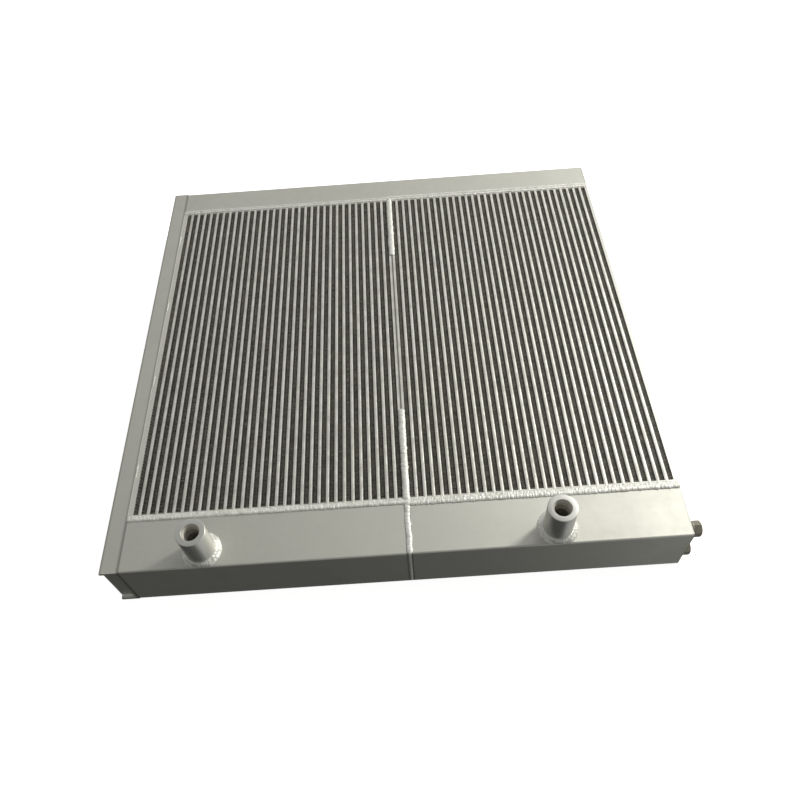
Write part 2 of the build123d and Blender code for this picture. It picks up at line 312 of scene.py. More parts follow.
def finish_mesh(mesh: bpy.types.Mesh, sharp_above: float = 32.0) -> bpy.types.Mesh:
    """Merge doubles, turn faces outwards and shade smooth up to an angle.

    Args:
        mesh: The mesh to finish in place.
        sharp_above: Edges that turn by more than this many degrees stay sharp.

    Returns:
        The same mesh.
    """
    work = bmesh.new()
    work.from_mesh(mesh)
    bmesh.ops.remove_doubles(work, verts=work.verts, dist=1e-7)
    bmesh.ops.recalc_face_normals(work, faces=work.faces)
    work.to_mesh(mesh)
    work.free()
    for face in mesh.polygons:
        face.use_smooth = True
    mesh.set_sharp_from_angle(angle=math.radians(sharp_above))
    return mesh


def joined(parts: Iterable[tuple[list, list]]) -> tuple[list, list]:
    """Join several (points, faces) lists into one."""
    points: list = []
    faces: list = []
    for more_points, more_faces in parts:
        start = len(points)
        points.extend(more_points)
        faces.extend([index + start for index in face] for face in more_faces)
    return points, faces


def turned(outline: Outline, steps: int, to_world: Matrix) -> tuple[list, list]:
    """Turn a closed outline of (radius, height) points round the height axis.

    Args:
        outline: The points of the closed outline, in order.
        steps: Number of steps round the axis.
        to_world: Places the turned shape, whose axis is Z.

    Returns:
        The shape's points and faces. A point at radius 0 closes the shape as a pole.
    """
    points: list = []
    rings: list = []
    for radius, height in outline:
        if radius < 1e-9:
            rings.append([len(points)] * steps)
            points.append(to_world @ Vector((0, 0, height)))
            continue
        rings.append([len(points) + i for i in range(steps)])
        for i in range(steps):
            angle = 2 * math.pi * i / steps
            points.append(to_world @ Vector((radius * math.cos(angle),
                                             radius * math.sin(angle), height)))
    faces = []
    for here, after in zip(rings, rings[1:] + rings[:1]):
        if here[0] == here[1] and after[0] == after[1]:
            continue
        for i in range(steps):
            j = (i + 1) % steps
            corners = [here[i], here[j], after[j], after[i]]
            faces.append(list(dict.fromkeys(corners)))
    return points, faces


def screw_ridge(root: float, crest: float, pitch: float, length: float, start: float,
                to_world: Matrix, steps: int = 40, sink: float = 0.05 * MM,
                flank: float = 0.47, flat: float = 0.07) -> tuple[list, list]:
    """Make one right-handed thread ridge round Z as a closed swept shape.

    Args:
        root: Radius where the ridge stands on its wall.
        crest: Radius of the ridge's top, smaller than root for an inner thread.
        pitch: Rise in one turn.
        length: Length of the thread along Z.
        start: Height of its first turn's middle.
        to_world: Places the ridge.
        steps: Steps in one turn.
        sink: How deep the ridge's foot lies in its wall.
        flank: Half the foot's width, as a share of the pitch.
        flat: Half the crest's width, as a share of the pitch.

    Returns:
        The ridge's points and faces.
    """
    turns = length / pitch
    count = int(steps * turns)
    foot = root - sink if root < crest else root + sink
    points: list = []
    for i in range(count + 1):
        along = i / count
        angle = 2 * math.pi * turns * along
        rise = start + length * along
        runout = min(1.0, 6 * along, 6 * (1 - along))
        top = root + (crest - root) * runout
        for radius, offset in ((foot, -flank), (top, -flat), (top, flat), (foot, flank)):
            points.append(to_world @ Vector((radius * math.cos(angle),
                                             radius * math.sin(angle),
                                             rise + offset * pitch)))
    faces = []
    for i in range(count):
        for k in range(4):
            m = (k + 1) % 4
            faces.append([4 * i + k, 4 * i + m, 4 * i + 4 + m, 4 * i + 4 + k])
    faces.append([0, 1, 2, 3])
    faces.append([4 * count + k for k in (3, 2, 1, 0)])
    return points, faces


# ------------------------------------------------------------------ shared shader effects
class Effects:
    """The shader groups that more than one finish uses, each built once."""

    def __init__(self) -> None:
        """Build every group."""
        self.grain = self._grain()
        self.smudge = self._smudge()
        self.scratches = self._scratches()
        self.edge_wear_highlight = self._edge_wear_highlight()
        self.joint_shade = self._joint_shade()
        self.slot_wall_shade = self._slot_wall_shade()
        self.recess_shade = self._recess_shade()
        self.dust = self._dust()

    @staticmethod
    def _position(group: ShaderGroup) -> bpy.types.NodeSocket:
        """Return the Object coordinates."""
        return group.add("ShaderNodeTexCoord").outputs["Object"]

    @staticmethod
    def _box_group(name: str, **sizes: float) -> ShaderGroup:
        """Start a group that works between a piece's Low and High corners.

        Args:
            name: The group's name.
            **sizes: Further inputs by name, with their default values.

        Returns:
            The group, whose only output is Mask.
        """
        inputs = {"Low": ("NodeSocketVector", (0, 0, 0)),
                  "High": ("NodeSocketVector", (1, 1, 1))}
        inputs.update((size, ("NodeSocketFloat", value)) for size, value in sizes.items())
        return ShaderGroup(name, inputs, {"Mask": "NodeSocketFloat"})

    def _insets(self, group: ShaderGroup) -> tuple[bpy.types.NodeSocket, bpy.types.NodeSocket]:
        """Return how far a point lies above the Low and below the High corner."""
        position = self._position(group)
        return (group.vector_math("SUBTRACT", position, group.given["Low"]),
                group.vector_math("SUBTRACT", group.given["High"], position))

    def _grain(self) -> bpy.types.NodeTree:
        """Fine directional grain, as rolled or brushed sheet has."""
        group = ShaderGroup("rolled_grain", {"Stretch": ("NodeSocketVector", (400, 400, 400)),
                                             "Detail": ("NodeSocketFloat", 3.0)},
                            {"Grain": "NodeSocketFloat"})
        position = group.vector_math("MULTIPLY", self._position(group),
                                     group.given["Stretch"])
        noise = group.add("ShaderNodeTexNoise", {"Vector": position, "Scale": 1.0,
                                                 "Detail": group.given["Detail"],
                                                 "Roughness": 0.6})
        group.give("Grain", group.ramp(noise.outputs[0], 0.25, 0.75))
        return group.tree

    def _smudge(self) -> bpy.types.NodeTree:
        """Broad cloudy patches left by handling, washing and heat."""
        group = ShaderGroup("handling_smudge", {"Scale": ("NodeSocketFloat", 9.0),
                                                "Cover": ("NodeSocketFloat", 0.5)},
                            {"Mask": "NodeSocketFloat"})
        noise = group.add("ShaderNodeTexNoise", {"Vector": self._position(group),
                                                 "Scale": group.given["Scale"],
                                                 "Detail": 5.0, "Roughness": 0.62,
                                                 "Distortion": 0.6})
        edge = group.math("SUBTRACT", 1.0, group.given["Cover"])
        low = group.math("SUBTRACT", edge, 0.18)
        high = group.math("ADD", edge, 0.18)
        group.give("Mask", group.ramp(noise.outputs[0], low, high))
        return group.tree

    def _scratches(self) -> bpy.types.NodeTree:
        """Thin straight scratches in two directions."""
        group = ShaderGroup("fine_scratches", {"Density": ("NodeSocketFloat", 1.0),
                                               "Amount": ("NodeSocketFloat", 0.5)},
                            {"Mask": "NodeSocketFloat"})
        marks = []
        for turn, stretch in ((0.35, (26, 900, 60)), (-0.9, (18, 700, 60))):
            mapping = group.add("ShaderNodeMapping", {"Vector": self._position(group),
                                                      "Rotation": (0, 0, turn),
                                                      "Scale": stretch})
            noise = group.add("ShaderNodeTexNoise", {"Vector": mapping.outputs[0],
                                                     "Scale": group.given["Density"],
                                                     "Detail": 1.0})
            marks.append(group.ramp(noise.outputs[0], 0.70, 0.76))
        both = group.math("MAXIMUM", marks[0], marks[1])
        group.give("Mask", group.math("MULTIPLY", both, group.given["Amount"]))
        return group.tree

    def _edge_wear_highlight(self) -> bpy.types.NodeTree:
        """Wear and painted highlight along the twelve edges of a box-shaped piece, given its
        corners.
        """
        group = self._box_group("edge_wear_highlight", Width=0.002)
        x, y, z = group.split(group.vector_math("MINIMUM", *self._insets(group)))
        second = group.math("MAXIMUM", group.math("MINIMUM", x, y),
                            group.math("MINIMUM", group.math("MAXIMUM", x, y), z))
        noise = group.add("ShaderNodeTexNoise", {"Vector": self._position(group),
                                                 "Scale": 180.0, "Detail": 4.0})
        wobble = group.math("MULTIPLY", noise.outputs[0], group.given["Width"])
        reach = group.math("ADD", wobble, group.math("MULTIPLY", group.given["Width"], 0.4))
        group.give("Mask", group.ramp(second, reach, 0.0))
        return group.tree

    def _joint_shade(self) -> bpy.types.NodeTree:
        """Painted shade: a dark line at a piece's left or right end, for the shaded groove where
        it butts against its neighbour and for a dark outline along an open end.
        """
        group = self._box_group("joint_shade", Width=0.0028, Left=0.8, Right=0.8)
        ends = []
        for inset, strength in zip(self._insets(group), ("Left", "Right")):
            near = group.ramp(group.split(inset)[0], group.given["Width"], 0.0)
            ends.append(group.math("MULTIPLY", near, group.given[strength]))
        group.give("Mask", group.math("MAXIMUM", *ends))
        return group.tree

    def _recess_shade(self) -> bpy.types.NodeTree:
        """Painted shade on everything below the upper face and above the lower face, darkening
        what lies recessed in the core.
        """
        group = self._box_group("recess_shade", Depth=0.0005)
        depth = group.split(group.vector_math("MINIMUM", *self._insets(group)))[2]
        group.give("Mask", group.ramp(depth, 0.00005, group.given["Depth"]))
        return group.tree

    def _slot_wall_shade(self) -> bpy.types.NodeTree:
        """Painted shade beside the walls of evenly spaced slots, clear along their middles: the
        recessed fins lie in the shade of the proud bars.
        """
        group = ShaderGroup("slot_wall_shade", {"First": ("NodeSocketFloat", 0.0),
                                          "Pitch": ("NodeSocketFloat", 0.0136),
                                          "Width": ("NodeSocketFloat", 0.008)},
                            {"Mask": "NodeSocketFloat"})
        x = group.split(self._position(group))[0]
        row = group.math("DIVIDE", group.math("SUBTRACT", x, group.given["First"]),
                         group.given["Pitch"])
        offset = group.math("SUBTRACT", row, group.math("ROUND", row))
        across = group.math("ABSOLUTE", group.math("MULTIPLY", offset, group.given["Pitch"]))
        share = group.math("DIVIDE", across, group.given["Width"])
        group.give("Mask", group.ramp(share, 0.16, 0.42))
        return group.tree

    def _dust(self) -> bpy.types.NodeTree:
        """Fine dust that settles on faces that look up."""
        group = ShaderGroup("settled_dust", {"Amount": ("NodeSocketFloat", 0.3)},
                            {"Mask": "NodeSocketFloat"})
        up = group.split(group.add("ShaderNodeNewGeometry").outputs["Normal"])[2]
        noise = group.add("ShaderNodeTexNoise", {"Vector": self._position(group),
                                                 "Scale": 60.0, "Detail": 6.0,
                                                 "Roughness": 0.7})
        lying = group.math("MULTIPLY", group.ramp(up, 0.3, 0.95),
                           group.ramp(noise.outputs[0], 0.4, 0.7))
        group.give("Mask", group.math("MULTIPLY", lying, group.given["Amount"]))
        return group.tree


# Colour of the painted shade on the fins beside the slot walls.
SLOT_WALL_SHADE = (0.20, 0.195, 0.165)
PALE_DUST = (0.55, 0.53, 0.48)
# Colour of the painted shade line at a piece's ends.
GROOVE_SHADE = (0.12, 0.115, 0.1)
# Colour of the painted shade in recesses below a core's faces.
RECESS_SHADE = (0.075, 0.072, 0.06)
TAPPED_WALL = (0.56, 0.54, 0.48)


@dataclass(frozen=True)
class MetalFinish:
    """One metal surface: its colours, gloss and the effects laid over it.

    Attributes:
        name: The material's name.
        colour: The clean metal.
        dull: The metal inside a smudge.
        metallic: How metallic the surface is, from 0 to 1.
        roughness: The mean roughness.
        spread: How much the grain changes the roughness.
        stretch: How fine the grain is along each axis.
        bump: Strength of the relief.
        bump_depth: Depth of the relief in metres.
        smudge_scale: How fine the smudges are.
        smudge_cover: The share of the surface that they cover.
        smudge_mix: How strongly they show.
        scratch: Strength of the scratches.
        dust: Amount of settled dust.
        wear_and_highlight: Strength of the lightened edges, partly wear and partly painted
            highlight.
        wear_highlight_width: How far that lightening reaches from an edge.
        joint: Strength of the painted shade line at the left and the right end.
        joint_width: Width of that line.
        depth: How far below a face the painted recess shade is full, or 0 for none.
    """

    name: str
    colour: Point
    dull: Point
    metallic: float
    roughness: float
    spread: float
    stretch: Point
    bump: float
    bump_depth: float = 0.00005
    smudge_scale: float = 9.0
    smudge_cover: float = 0.5
    smudge_mix: float = 0.5
    scratch: float = 0.0
    dust: float = 0.0
    wear_and_highlight: float = 0.0
    wear_highlight_width: float = 0.0025
    joint: tuple[float, float] = (0.0, 0.0)
    joint_width: float = 0.0028
    depth: float = 0.0

    def material(self, effects: Effects,
                 corners: Optional[tuple[Vector, Vector]] = None,
                 label: str = "",
                 slots: Optional[Point] = None,
                 bore: Optional[Point] = None) -> bpy.types.Material:
        """Build the finish's material.

        Args:
            effects: The shared shader groups.
            corners: Low and high corner of a box-shaped piece whose edges get wear and painted
                highlight.
            label: Added to the material's name when it is made for one piece.
            slots: First middle, pitch and width of slots whose walls get painted shade.
            bore: X and Y of an upright bore's axis, and its radius. The bore's wall is
                left rough and pale by the tap.

        Returns:
            The new material.
        """
        made = bpy.data.materials.new(self.name + label)
        made.use_nodes = True
        web = NodeBuilder(made.node_tree)
        shader = made.node_tree.nodes["Principled BSDF"]
        shader.inputs["Metallic"].default_value = self.metallic
        grain = web.use(effects.grain, {"Stretch": self.stretch})
        patch = web.math("MULTIPLY", web.use(effects.smudge, {"Scale": self.smudge_scale,
                                                              "Cover": self.smudge_cover}),
                         self.smudge_mix)
        colour = web.mix(patch, self.colour, self.dull)
        rough = web.math("MULTIPLY_ADD", grain, self.spread, self.roughness - self.spread / 2)
        rough = self._rougher(web, rough, patch, 0.12)
        height = grain
        if self.scratch:
            marks = web.use(effects.scratches, {"Amount": self.scratch})
            height = web.math("SUBTRACT", height, marks)
            rough = self._rougher(web, rough, marks, 0.1)
        if slots:
            # Painted shade: the fins are darkened beside the slot walls, where the bars shade
            # them.
            beside = web.use(effects.slot_wall_shade, dict(zip(("First", "Pitch", "Width"), slots)))
            colour = web.mix(beside, colour, SLOT_WALL_SHADE)
        if self.dust:
            dust = web.use(effects.dust, {"Amount": self.dust})
            colour = web.mix(dust, colour, PALE_DUST)
            rough = self._rougher(web, rough, dust, 0.3)
        if corners:
            colour, rough = self._edges(web, effects, corners, colour, rough)
        if bore:
            inside = self._inside(web, bore)
            colour = web.mix(inside, colour, TAPPED_WALL)
            rough = self._rougher(web, rough, inside, 0.25)
            web.feed(shader.inputs["Metallic"],
                     web.ramp(inside, 0.0, 1.0, self.metallic, 0.2))
        web.feed(shader.inputs["Base Color"], colour)
        web.feed(shader.inputs["Roughness"], rough)
        relief = web.add("ShaderNodeBump", {"Height": height, "Strength": self.bump,
                                            "Distance": self.bump_depth})
        web.feed(shader.inputs["Normal"], relief.outputs["Normal"])
        return made

    @staticmethod
    def _rougher(web: NodeBuilder, rough: bpy.types.NodeSocket, mask: bpy.types.NodeSocket,
                 amount: float) -> bpy.types.NodeSocket:
        """Raise the roughness by an amount where a mask is white."""
        return web.math("ADD", rough, web.math("MULTIPLY", mask, amount))

    @staticmethod
    def _inside(web: NodeBuilder, bore: Point) -> bpy.types.NodeSocket:
        """Return a mask of what lies within an upright bore's radius."""
        position = web.add("ShaderNodeTexCoord").outputs["Object"]
        aside = web.vector_math("SUBTRACT", position, (bore[0], bore[1], 0))
        flat = web.vector_math("MULTIPLY", aside, (1, 1, 0))
        reach = web.add("ShaderNodeVectorMath", {0: flat}, operation="LENGTH")
        return web.ramp(reach.outputs["Value"], bore[2], bore[2] - 0.4 * MM)

    def _edges(self, web: NodeBuilder, effects: Effects, corners: tuple[Vector, Vector],
               colour: bpy.types.NodeSocket, rough: bpy.types.NodeSocket
               ) -> tuple[bpy.types.NodeSocket, bpy.types.NodeSocket]:
        """Lay worn edges with painted highlight, painted shade lines at the ends and painted
        shade in recesses over a box-shaped piece.

        Args:
            web: The material's nodes.
            effects: The shared shader groups.
            corners: Low and high corner of the piece.
            colour: The colour so far.
            rough: The roughness so far.

        Returns:
            The new colour and roughness.
        """
        box = {"Low": corners[0], "High": corners[1]}
        # Painted highlight: the edges are lightened as rounded edges that catch the light,
        # together with wear.
        if self.wear_and_highlight:
            edge = web.use(effects.edge_wear_highlight, {**box, "Width": self.wear_highlight_width})
            wear_highlight_mask = web.math("MULTIPLY", edge, self.wear_and_highlight)
            highlight_colour = [min(1.0, 1.22 * channel) for channel in self.colour]
            colour = web.mix(wear_highlight_mask, colour, highlight_colour)
            rough = web.math("SUBTRACT", rough, web.math("MULTIPLY", wear_highlight_mask, 0.12))
        # Painted shade: a dark line at the butted and open ends.
        if any(self.joint):
            line = web.use(effects.joint_shade, {**box, "Width": self.joint_width,
                                                 "Left": self.joint[0],
                                                 "Right": self.joint[1]})
            colour = web.mix(line, colour, GROOVE_SHADE)
        # Painted shade: what lies below the upper face and above the lower face is darkened as
        # recessed.
        if self.depth:
            deep = web.use(effects.recess_shade, {**box, "Depth": self.depth})
            colour = web.mix(deep, colour, RECESS_SHADE)
        return colour, rough


@dataclass(frozen=True)
class RubberFinish:
    """Black moulded rubber with a faint dusty bloom."""

    name: str = "nitrile_rubber"
    colour: Point = (0.02, 0.02, 0.02)
    bloom: Point = (0.06, 0.06, 0.055)
    roughness: float = 0.62
    bloom_scale: float = 120.0

    def material(self, effects: Effects) -> bpy.types.Material:
        """Build the rubber's material."""
        made = bpy.data.materials.new(self.name)
        made.use_nodes = True
        web = NodeBuilder(made.node_tree)
        shader = made.node_tree.nodes["Principled BSDF"]
        cloud = web.use(effects.smudge, {"Scale": self.bloom_scale})
        web.feed(shader.inputs["Base Color"], web.mix(cloud, self.colour, self.bloom))
        web.feed(shader.inputs["Roughness"],
                 web.math("ADD", self.roughness, web.math("MULTIPLY", cloud, 0.15)))
        return made


SHEET = MetalFinish("satin_aluminium_sheet", colour=(0.65, 0.65, 0.595),
                    dull=(0.55, 0.55, 0.505), metallic=0.76, roughness=0.50, spread=0.07,
                    stretch=(60, 900, 900), bump=0.25, smudge_mix=0.45, scratch=0.25,
                    dust=0.18, wear_and_highlight=0.7)
BARS = MetalFinish("brazed_bar_aluminium", colour=(0.82, 0.815, 0.76),
                   dull=(0.54, 0.53, 0.49), metallic=0.6, roughness=0.46, spread=0.14,
                   stretch=(700, 90, 700), bump=0.4, smudge_scale=38.0, smudge_mix=0.75,
                   dust=0.1)
PLATE = replace(BARS, name="side_plate_aluminium", colour=(0.74, 0.735, 0.685),
                dull=(0.62, 0.615, 0.565), smudge_scale=14.0, smudge_mix=0.5, wear_and_highlight=0.5)
FINS = MetalFinish("folded_fin_aluminium", colour=(0.66, 0.64, 0.56),
                   dull=(0.18, 0.175, 0.15), metallic=0.45, roughness=0.5, spread=0.1,
                   stretch=(500, 500, 500), bump=0.2, smudge_scale=190.0, smudge_mix=0.8)
INNER = MetalFinish("brazing_sheet_aluminium", colour=(0.60, 0.59, 0.54),
                    dull=(0.46, 0.45, 0.41), metallic=0.7, roughness=0.46, spread=0.1,
                    stretch=(500, 60, 500), bump=0.3, smudge_scale=22.0)
TURNED = MetalFinish("turned_aluminium", colour=(0.68, 0.68, 0.64),
                     dull=(0.58, 0.58, 0.55), metallic=0.7, roughness=0.36, spread=0.1,
                     stretch=(60, 60, 2600), bump=0.45, smudge_mix=0.3, scratch=0.15)
WELD = MetalFinish("weld_aluminium", colour=(0.83, 0.83, 0.78), dull=(0.55, 0.54, 0.49),
                   metallic=0.4, roughness=0.46, spread=0.15, stretch=(900, 900, 900),
                   bump=0.4, bump_depth=0.0001, smudge_scale=110.0, smudge_cover=0.42,
                   smudge_mix=0.9)
ZINC = MetalFinish("zinc_plated_steel", colour=(0.34, 0.32, 0.26), dull=(0.25, 0.24, 0.20),
                   metallic=0.75, roughness=0.48, spread=0.12, stretch=(800, 800, 800),
                   bump=0.3, smudge_scale=80.0, smudge_mix=0.6, scratch=0.2)


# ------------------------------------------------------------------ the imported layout
@dataclass(frozen=True)
class Layout:
    """Places that more than one sub-assembly needs, read from the model's nodes."""

    tank_top: float
    core_top: float
    core_bottom: float
    left_end: float
    right_end: float
    front: float
    port_joint: float
    return_joint: float
    seam: float
    fin_start: float
    fin_end: float

    @classmethod
    def read(cls) -> "Layout":
        """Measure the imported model.

        Returns:
            The layout in metres.
        """
        tank_low, tank_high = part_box("left_port_tank_shell")
        plate_low, plate_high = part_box("left_core_inner_side_plate")
        outer_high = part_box("right_core_outer_side_plate")[1]
        fin_low, fin_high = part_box("left_core_air_fins")
        return cls(tank_top=tank_high.z, core_top=plate_high.z, core_bottom=plate_low.z,
                   left_end=tank_low.x, right_end=outer_high.x, front=tank_low.y,
                   port_joint=plate_low.y, return_joint=plate_high.y, seam=plate_high.x,
                   fin_start=fin_low.y, fin_end=fin_high.y)


class Workshop:
    """Holds the finishes' materials and dresses and registers every piece."""

    def __init__(self, frame: dict) -> None:
        """Build the shared effects and the materials.
        """
        self.frame = frame
        self.effects = Effects()
        finishes = {Slot.SHEET: SHEET, Slot.BAR: BARS, Slot.FIN: FINS, Slot.INNER: INNER,
                    Slot.BOSS: TURNED, Slot.WELD: WELD, Slot.PLUG: ZINC}
        self.materials = {slot: finish.material(self.effects)
                          for slot, finish in finishes.items()}
        self.materials[Slot.SEAL] = RubberFinish().material(self.effects)

    def dress_node(self, node: str, material: bpy.types.Material) -> None:
        """Give a CAD node that stays in view its material."""
        slots = self.frame["nodes"][node].data.materials
        slots.clear()
        slots.append(material)
        LOG.info("dressed %s", node)

    def register(self, piece: bpy.types.Object, slot: Slot, body: str = BODY,
                 replaced: Sequence[str] = (),
                 material: Optional[bpy.types.Material] = None) -> bpy.types.Object:
        """Dress a new piece, attach it to the body that it rides on and hide the CAD nodes that
        it stands for.

        Args:
            piece: The finished piece.
            slot: Its material slot.
            body: The body it moves with.
            replaced: The CAD nodes it stands for.
            material: A material of its own, in place of the slot's.

        Returns:
            The same piece.
        """
        piece.data.materials.clear()
        piece.data.materials.append(material or self.materials[slot])
        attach(piece, body)
        if replaced:
            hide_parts(*replaced)
        LOG.info("made %s: %d faces", piece.name, len(piece.data.polygons))
        return piece


# ------------------------------------------------------------------ the cores
@dataclass
class RowRule:
    """Repeats one row along X, with a slight unevenness from row to row."""

    name: str = "row_array"

    def __post_init__(self) -> None:
        """Build the tree."""
        rule = GeometryRule(self.name)
        rows = rule.size("Rows", "Int", 10)
        step = rule.size("Row Step", "Vector", (0.01, 0, 0))
        first = rule.size("First Row", "Vector", (0, 0, 0))
        wobble = rule.size("Wobble", "Float", 0.0)
        wave = rule.size("Wobble Scale", "Float", 20.0)
        material = rule.size("Material", "Material")
        line = rule.add("GeometryNodeMeshLine", {"Count": rows, "Start Location": first,
                                                 "Offset": step}, mode="OFFSET")
        spread = rule.add("GeometryNodeInstanceOnPoints",
                          {"Points": line.outputs["Mesh"],
                           "Instance": rule.start.outputs["Geometry"]})
        real = rule.add("GeometryNodeRealizeInstances",
                        {"Geometry": spread.outputs["Instances"]})
        position = rule.add("GeometryNodeInputPosition").outputs[0]
        noise = rule.add("ShaderNodeTexNoise", {"Vector": position, "Scale": wave,
                                                "Detail": 2.0})
        centred = rule.vector_math("SUBTRACT", noise.outputs[1], (0.5, 0.5, 0.5))
        moved = rule.add("GeometryNodeSetPosition",
                         {"Geometry": real.outputs["Geometry"],
                          "Offset": rule.scaled(centred, wobble)})
        rule.close(moved.outputs["Geometry"], material)
        self.rule = rule


@dataclass
class CoreRows:
    """The air fins and oil bars of one core."""

    side: Side
    air_rows: int
    fold_pitch: float = 3.1 * MM
    fin_sheet: float = 0.34 * MM
    fin_corner: float = 0.6 * MM
    crest_share: float = 0.30
    bend_share: float = 0.10
    fin_wobble: float = 0.5 * MM
    bar_width: float = 4.0 * MM
    bar_depth: float = 8.0 * MM
    bar_bevel: float = 0.35 * MM
    bar_crown: float = 0.06 * MM
    bar_wobble: float = 0.25 * MM
    bar_steps: int = 36

    @property
    def oil_rows(self) -> int:
        """Oil rows lie between the air rows."""
        return self.air_rows - 1

    def _fold_line(self, length: float, reach: float) -> Outline:
        """Return the middle line of one folded fin as (along, across) points.

        Args:
            length: Length of the fin along Y.
            reach: Half the fin's height, to the middle of its sheet.

        Returns:
            The line, starting and ending at half a fold.
        """
        folds = round(length / self.fold_pitch)
        pitch = length / folds
        flat = self.crest_share * pitch
        bend = self.bend_share * pitch
        line: Outline = []
        for i in range(folds):
            middle = (i + 0.5) * pitch
            sign = 1 if i % 2 else -1
            line += [(middle - flat - bend, sign * (reach - self.fin_corner)),
                     (middle - flat, sign * reach), (middle + flat, sign * reach),
                     (middle + flat + bend, sign * (reach - self.fin_corner))]
        return line

    def _fin_row(self, low: Vector, high: Vector, height: float) -> bpy.types.Mesh:
        """Make one row's folded fin as a closed thin sheet.

        Args:
            low: Low corner of the core's fins.
            high: High corner of the core's fins.
            height: Height of the air passage along X.

        Returns:
            The mesh, with its X centred on the row.
        """
        line = self._fold_line(high.y - low.y, height / 2 - self.fin_sheet / 2)
        points: list = []
        for i, (along, across) in enumerate(line):
            before = line[max(0, i - 1)]
            after = line[min(len(line) - 1, i + 1)]
            run = Vector((after[0] - before[0], after[1] - before[1])).normalized()
            side = Vector((-run.y, run.x)) * self.fin_sheet / 2
            for sign in (-1, 1):
                y = low.y + along + sign * side.x
                x = across + sign * side.y
                points += [(x, y, low.z), (x, y, high.z)]
        faces = []
        for i in range(len(line) - 1):
            a, b = 4 * i, 4 * i + 4
            faces += [[a, b, b + 1, a + 1], [a + 3, b + 3, b + 2, a + 2],
                      [a + 1, b + 1, b + 3, a + 3], [a + 2, b + 2, b, a]]
        last = 4 * (len(line) - 1)
        faces += [[0, 1, 3, 2], [last + 2, last + 3, last + 1, last]]
        return mesh_of(f"{self.side.value}_fin_row", points, faces)

    def _bar_row(self, low: Vector, high: Vector) -> bpy.types.Mesh:
        """Make one oil row's two bars, at the upper and the lower face.

        Args:
            low: Low corner of the core's oil bars.
            high: High corner of the core's oil bars.

        Returns:
            The mesh, with its X centred on the row.
        """
        half, depth = self.bar_width / 2, self.bar_depth
        bevel, crown = self.bar_bevel, self.bar_crown
        parts = []
        for face_z, inward in ((high.z, -1), (low.z, 1)):
            section = [(-half, depth), (-half, bevel), (-half + bevel, crown),
                       (-half / 2, 0.25 * crown), (0, 0), (half / 2, 0.25 * crown),
                       (half - bevel, crown), (half, bevel), (half, depth)]
            points = []
            for i in range(self.bar_steps + 1):
                y = low.y + (high.y - low.y) * i / self.bar_steps
                points += [(x, y, face_z + inward * z) for x, z in section]
            size = len(section)
            faces = [[size * i + k, size * i + (k + 1) % size,
                      size * (i + 1) + (k + 1) % size, size * (i + 1) + k]
                     for i in range(self.bar_steps) for k in range(size)]
            faces += [list(range(size)),
                      [size * self.bar_steps + k for k in reversed(range(size))]]
            parts.append((points, faces))
        points, faces = joined(parts)
        return finish_mesh(mesh_of(f"{self.side.value}_bar_row", points, faces), 50)

    def build(self, shop: Workshop, rule: GeometryRule) -> None:
        """Make the core's fins and bars and dress its other nodes.

        Args:
            shop: Dresses and registers the pieces.
            rule: The tree that repeats a row.
        """
        prefix = f"{self.side.value}_core"
        low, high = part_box(f"{prefix}_oil_bars")
        pitch = (high.x - low.x - self.bar_width) / (self.oil_rows - 1)
        bars = rule.run(self._bar_row(low, high), f"{prefix}_bar_faces",
                        {"Rows": self.oil_rows, "Row Step": (pitch, 0, 0),
                         "First Row": (low.x + self.bar_width / 2, 0, 0),
                         "Wobble": self.bar_wobble, "Wobble Scale": 18.0,
                         "Material": shop.materials[Slot.BAR]})
        shop.register(bars, Slot.BAR, replaced=[f"{prefix}_oil_bars"])
        low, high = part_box(f"{prefix}_air_fins")
        height = high.x - low.x - pitch * (self.air_rows - 1)
        half = self.air_rows // 2
        # These fins get painted shade beside the slot walls.
        slot_shaded_fins = FINS.material(shop.effects, label=f"_{self.side.value}",
                              slots=(low.x + height / 2, pitch, height))
        for part, first, rows in (("near_seam", 0, half), ("outer", half, self.air_rows - half)):
            fins = rule.run(self._fin_row(low, high, height), f"{prefix}_fins_{part}",
                            {"Rows": rows, "Row Step": (pitch, 0, 0),
                             "First Row": (low.x + height / 2 + pitch * first, 0, 0),
                             "Wobble": self.fin_wobble, "Wobble Scale": 35.0,
                             "Material": slot_shaded_fins})
            shop.register(fins, Slot.FIN, replaced=[f"{prefix}_air_fins"], material=slot_shaded_fins)
        # The inner side plates get a painted shade line where they meet at the seam.
        inner_joint = (0.0, 1.0) if self.side is Side.LEFT else (1.0, 0.0)
        for name, finish in (("header_bars", BARS), ("outer_side_plate", PLATE),
                             ("inner_side_plate", replace(BARS, joint=inner_joint)),
                             # The parting sheets get painted shade below the core's faces.
                             ("parting_sheets", replace(INNER, depth=0.5 * MM)),
                             ("oil_turbulators", INNER)):
            node = f"{prefix}_{name}"
            shop.dress_node(node, finish.material(shop.effects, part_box(node), f"_{node}"))


